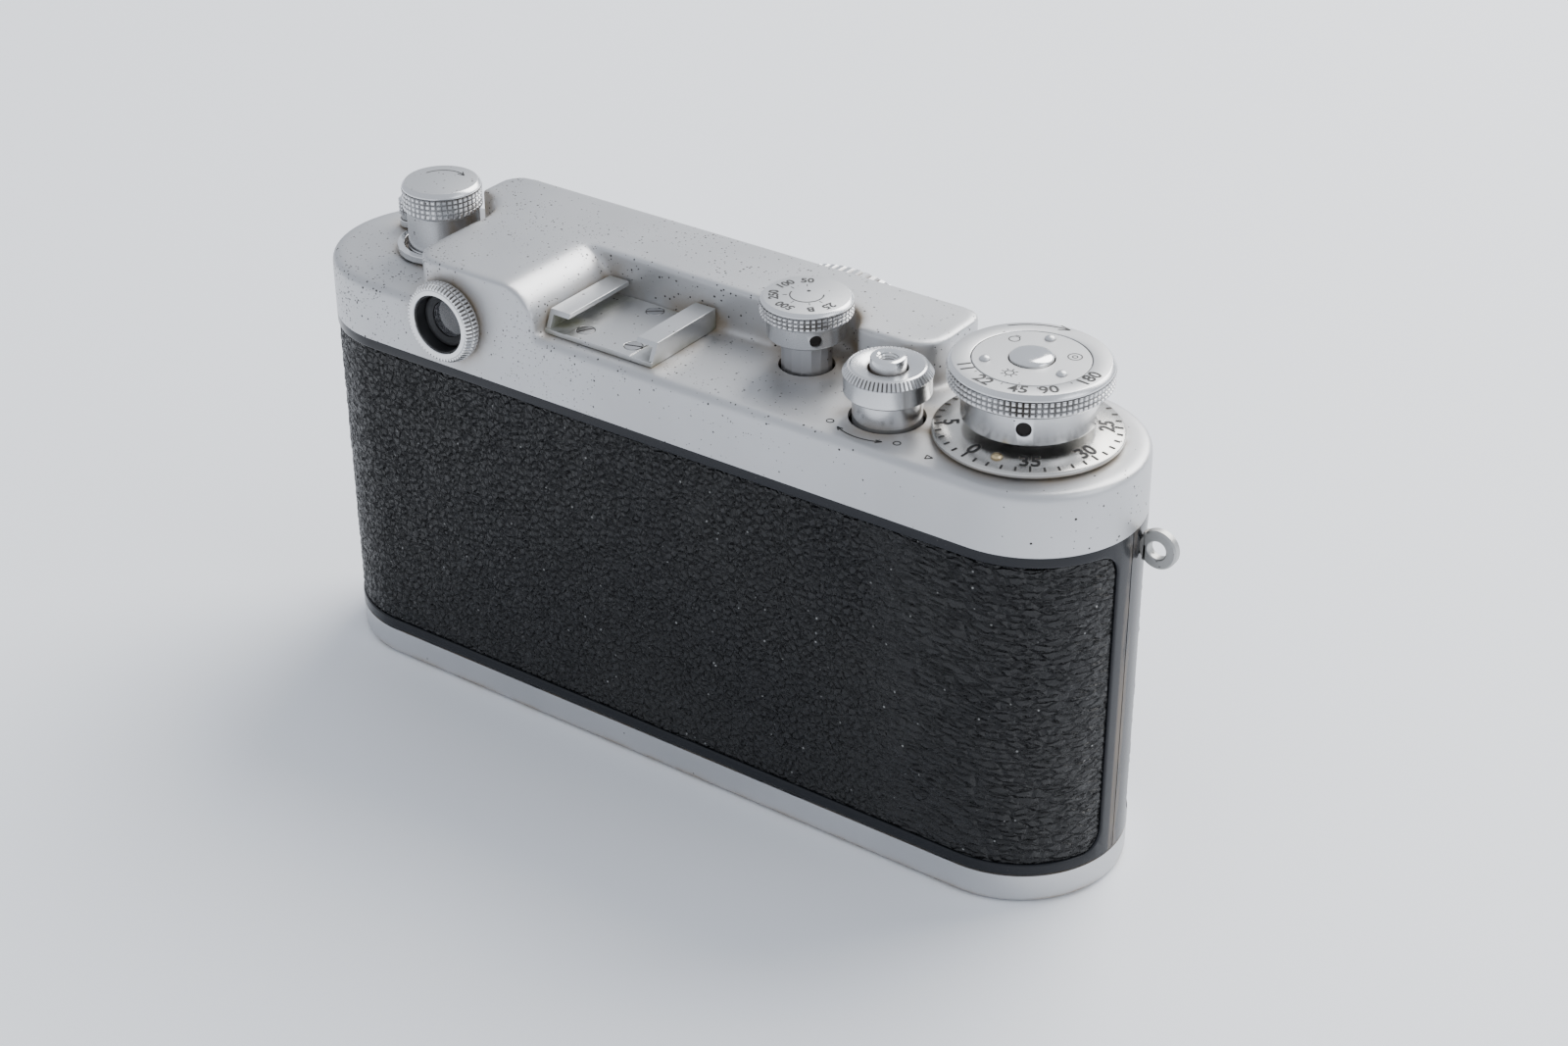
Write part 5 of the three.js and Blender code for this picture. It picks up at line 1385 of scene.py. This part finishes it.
top_z = WIND_TOP + 0.004
parts = []
for text, degrees in (("22", 78), ("45", 110), ("90", 135), ("180", 175), ("11", 50)):
    parts.append(dial_number(text, 9.35, degrees, 1.7, top_z))
for i in range(8):
    degrees = 62 + i * 16
    parts.append(ink_bar((*polar(8.45, degrees), 0), (*polar(8.85, degrees), 0), 0.13, top_z))
parts += arrow(10.1, -40, -90, 0.19, top_z, 1.6)
put_ink("wind_knob_marks", parts, "wind_knob", wind.x)

parts = []
sun_x, sun_y = polar(5.4, 88)
ring = ink_arc(0.6, 0, 360, 0.17, top_z)
move(ring, sun_x, sun_y)
parts.append(ring)
for i in range(8):
    inner, outer = polar(0.8, i * 45), polar(1.2, i * 45)
    parts.append(ink_bar((sun_x + inner[0], sun_y + inner[1], 0),
                         (sun_x + outer[0], sun_y + outer[1], 0), 0.15, top_z))
for radius in (0.35, 0.95):
    ring = ink_arc(radius, 0, 360, 0.16, top_z)
    move(ring, *polar(5.8, -142))
    parts.append(ring)
lamp_x, lamp_y = polar(6.0, -36)
ring = ink_arc(0.75, -60, 240, 0.16, top_z)
move(ring, lamp_x, lamp_y)
parts.append(ring)
for dy in (-0.75, -1.05):
    parts.append(ink_bar((lamp_x - 0.4, lamp_y + dy, 0), (lamp_x + 0.4, lamp_y + dy, 0), 0.12,
                         top_z))
put_ink("film_reminder_marks", parts, "film_reminder", wind.x)

parts = []
slope = 0.5 / (COUNTER_R - 0.35 - 9.2)


def on_cone(bm):
    """Lays flat ink on the counter's coned face."""
    for vert in bm.verts:
        reach = math.hypot(vert.co.x, vert.co.y)
        vert.co.z += COUNTER_TOP + 0.06 - max(reach - 9.2, 0) * slope
    return bm


for i in range(40):
    degrees = 77 + i * 9
    long_stroke = i % 5 == 0
    parts.append(on_cone(ink_bar((*polar(12.8, degrees), 0),
                                 (*polar(11.6 if long_stroke else 11.95, degrees), 0),
                                 0.3, 0)))
for i in range(8):
    parts.append(on_cone(dial_number(str((40 - 5 * i) % 40), 10.6, 77 + i * 45, 1.9, 0)))
put_ink("frame_counter_marks", parts, "frame_counter", wind.x)

top_z = SPEED_TOP + 0.004
parts = [ink_arc(2.4, 7.5, 215, 0.2, top_z)]
for text, degrees, radius in (("25", 165, 4.7), ("B", 132, 4.7), ("500", 84, 4.6),
                              ("250", 34, 4.6), ("100", -14, 4.6), ("50", -56, 4.6)):
    parts.append(dial_number(text, radius, degrees, 1.22, top_z, tops_out=True))
    parts.append(ink_bar((*polar(2.75, degrees), 0), (*polar(3.4, degrees), 0), 0.12, top_z))
dot = rod_bm(0.28, (0, 0, top_z - INK_T / 2), (0, 0, top_z + INK_T / 2), 16)
move(dot, *polar(1.3, -68))
parts.append(dot)
put_ink("speed_dial_marks", parts, "speed_dial", speed.x)

put_ink("rewind_knob_arrow", arrow(3.7, -11, -119, 0.2, REWIND_TOP + 0.004, 1.2),
        "rewind_knob", rewind.x)

deck_z = DECK_Z + 0.02
parts = arrow(7.6, 88, 60, 0.2, deck_z, 0.9) + arrow(7.6, 88, 118, 0.2, deck_z, 0.9)
for degrees in (46, 133):
    mark_x, mark_y = polar(8.0, degrees)
    ring = ink_arc(0.5, 0, 360, 0.18, deck_z)
    move(ring, mark_x, mark_y)
    parts.append(ring)
index = Vector((wind.x + 7.6 - clutch.x, 13.2 - clutch.y, 0))
corners = [index + Vector((*polar(0.62, a), 0)) for a in (75, 195, 315)]
for a, b in zip(corners, corners[1:] + corners[:1]):
    parts.append(ink_bar(a, b, 0.19, deck_z))
put_ink("deck_marks", parts, "chassis", clutch.x, clutch.y)

parts = []
for number in (1, 2, 3):
    screw_low, screw_high = box_mm(f"shoe_screw_{number}")
    at = centre_of(f"shoe_screw_{number}")
    gap = ink_arc((screw_high.x - screw_low.x) / 2 + 0.06, 0, 360, 0.16, screw_high.z + 0.01)
    move(gap, at.x, at.y)
    parts.append(gap)
put_ink("shoe_screw_gaps", parts, "chassis")
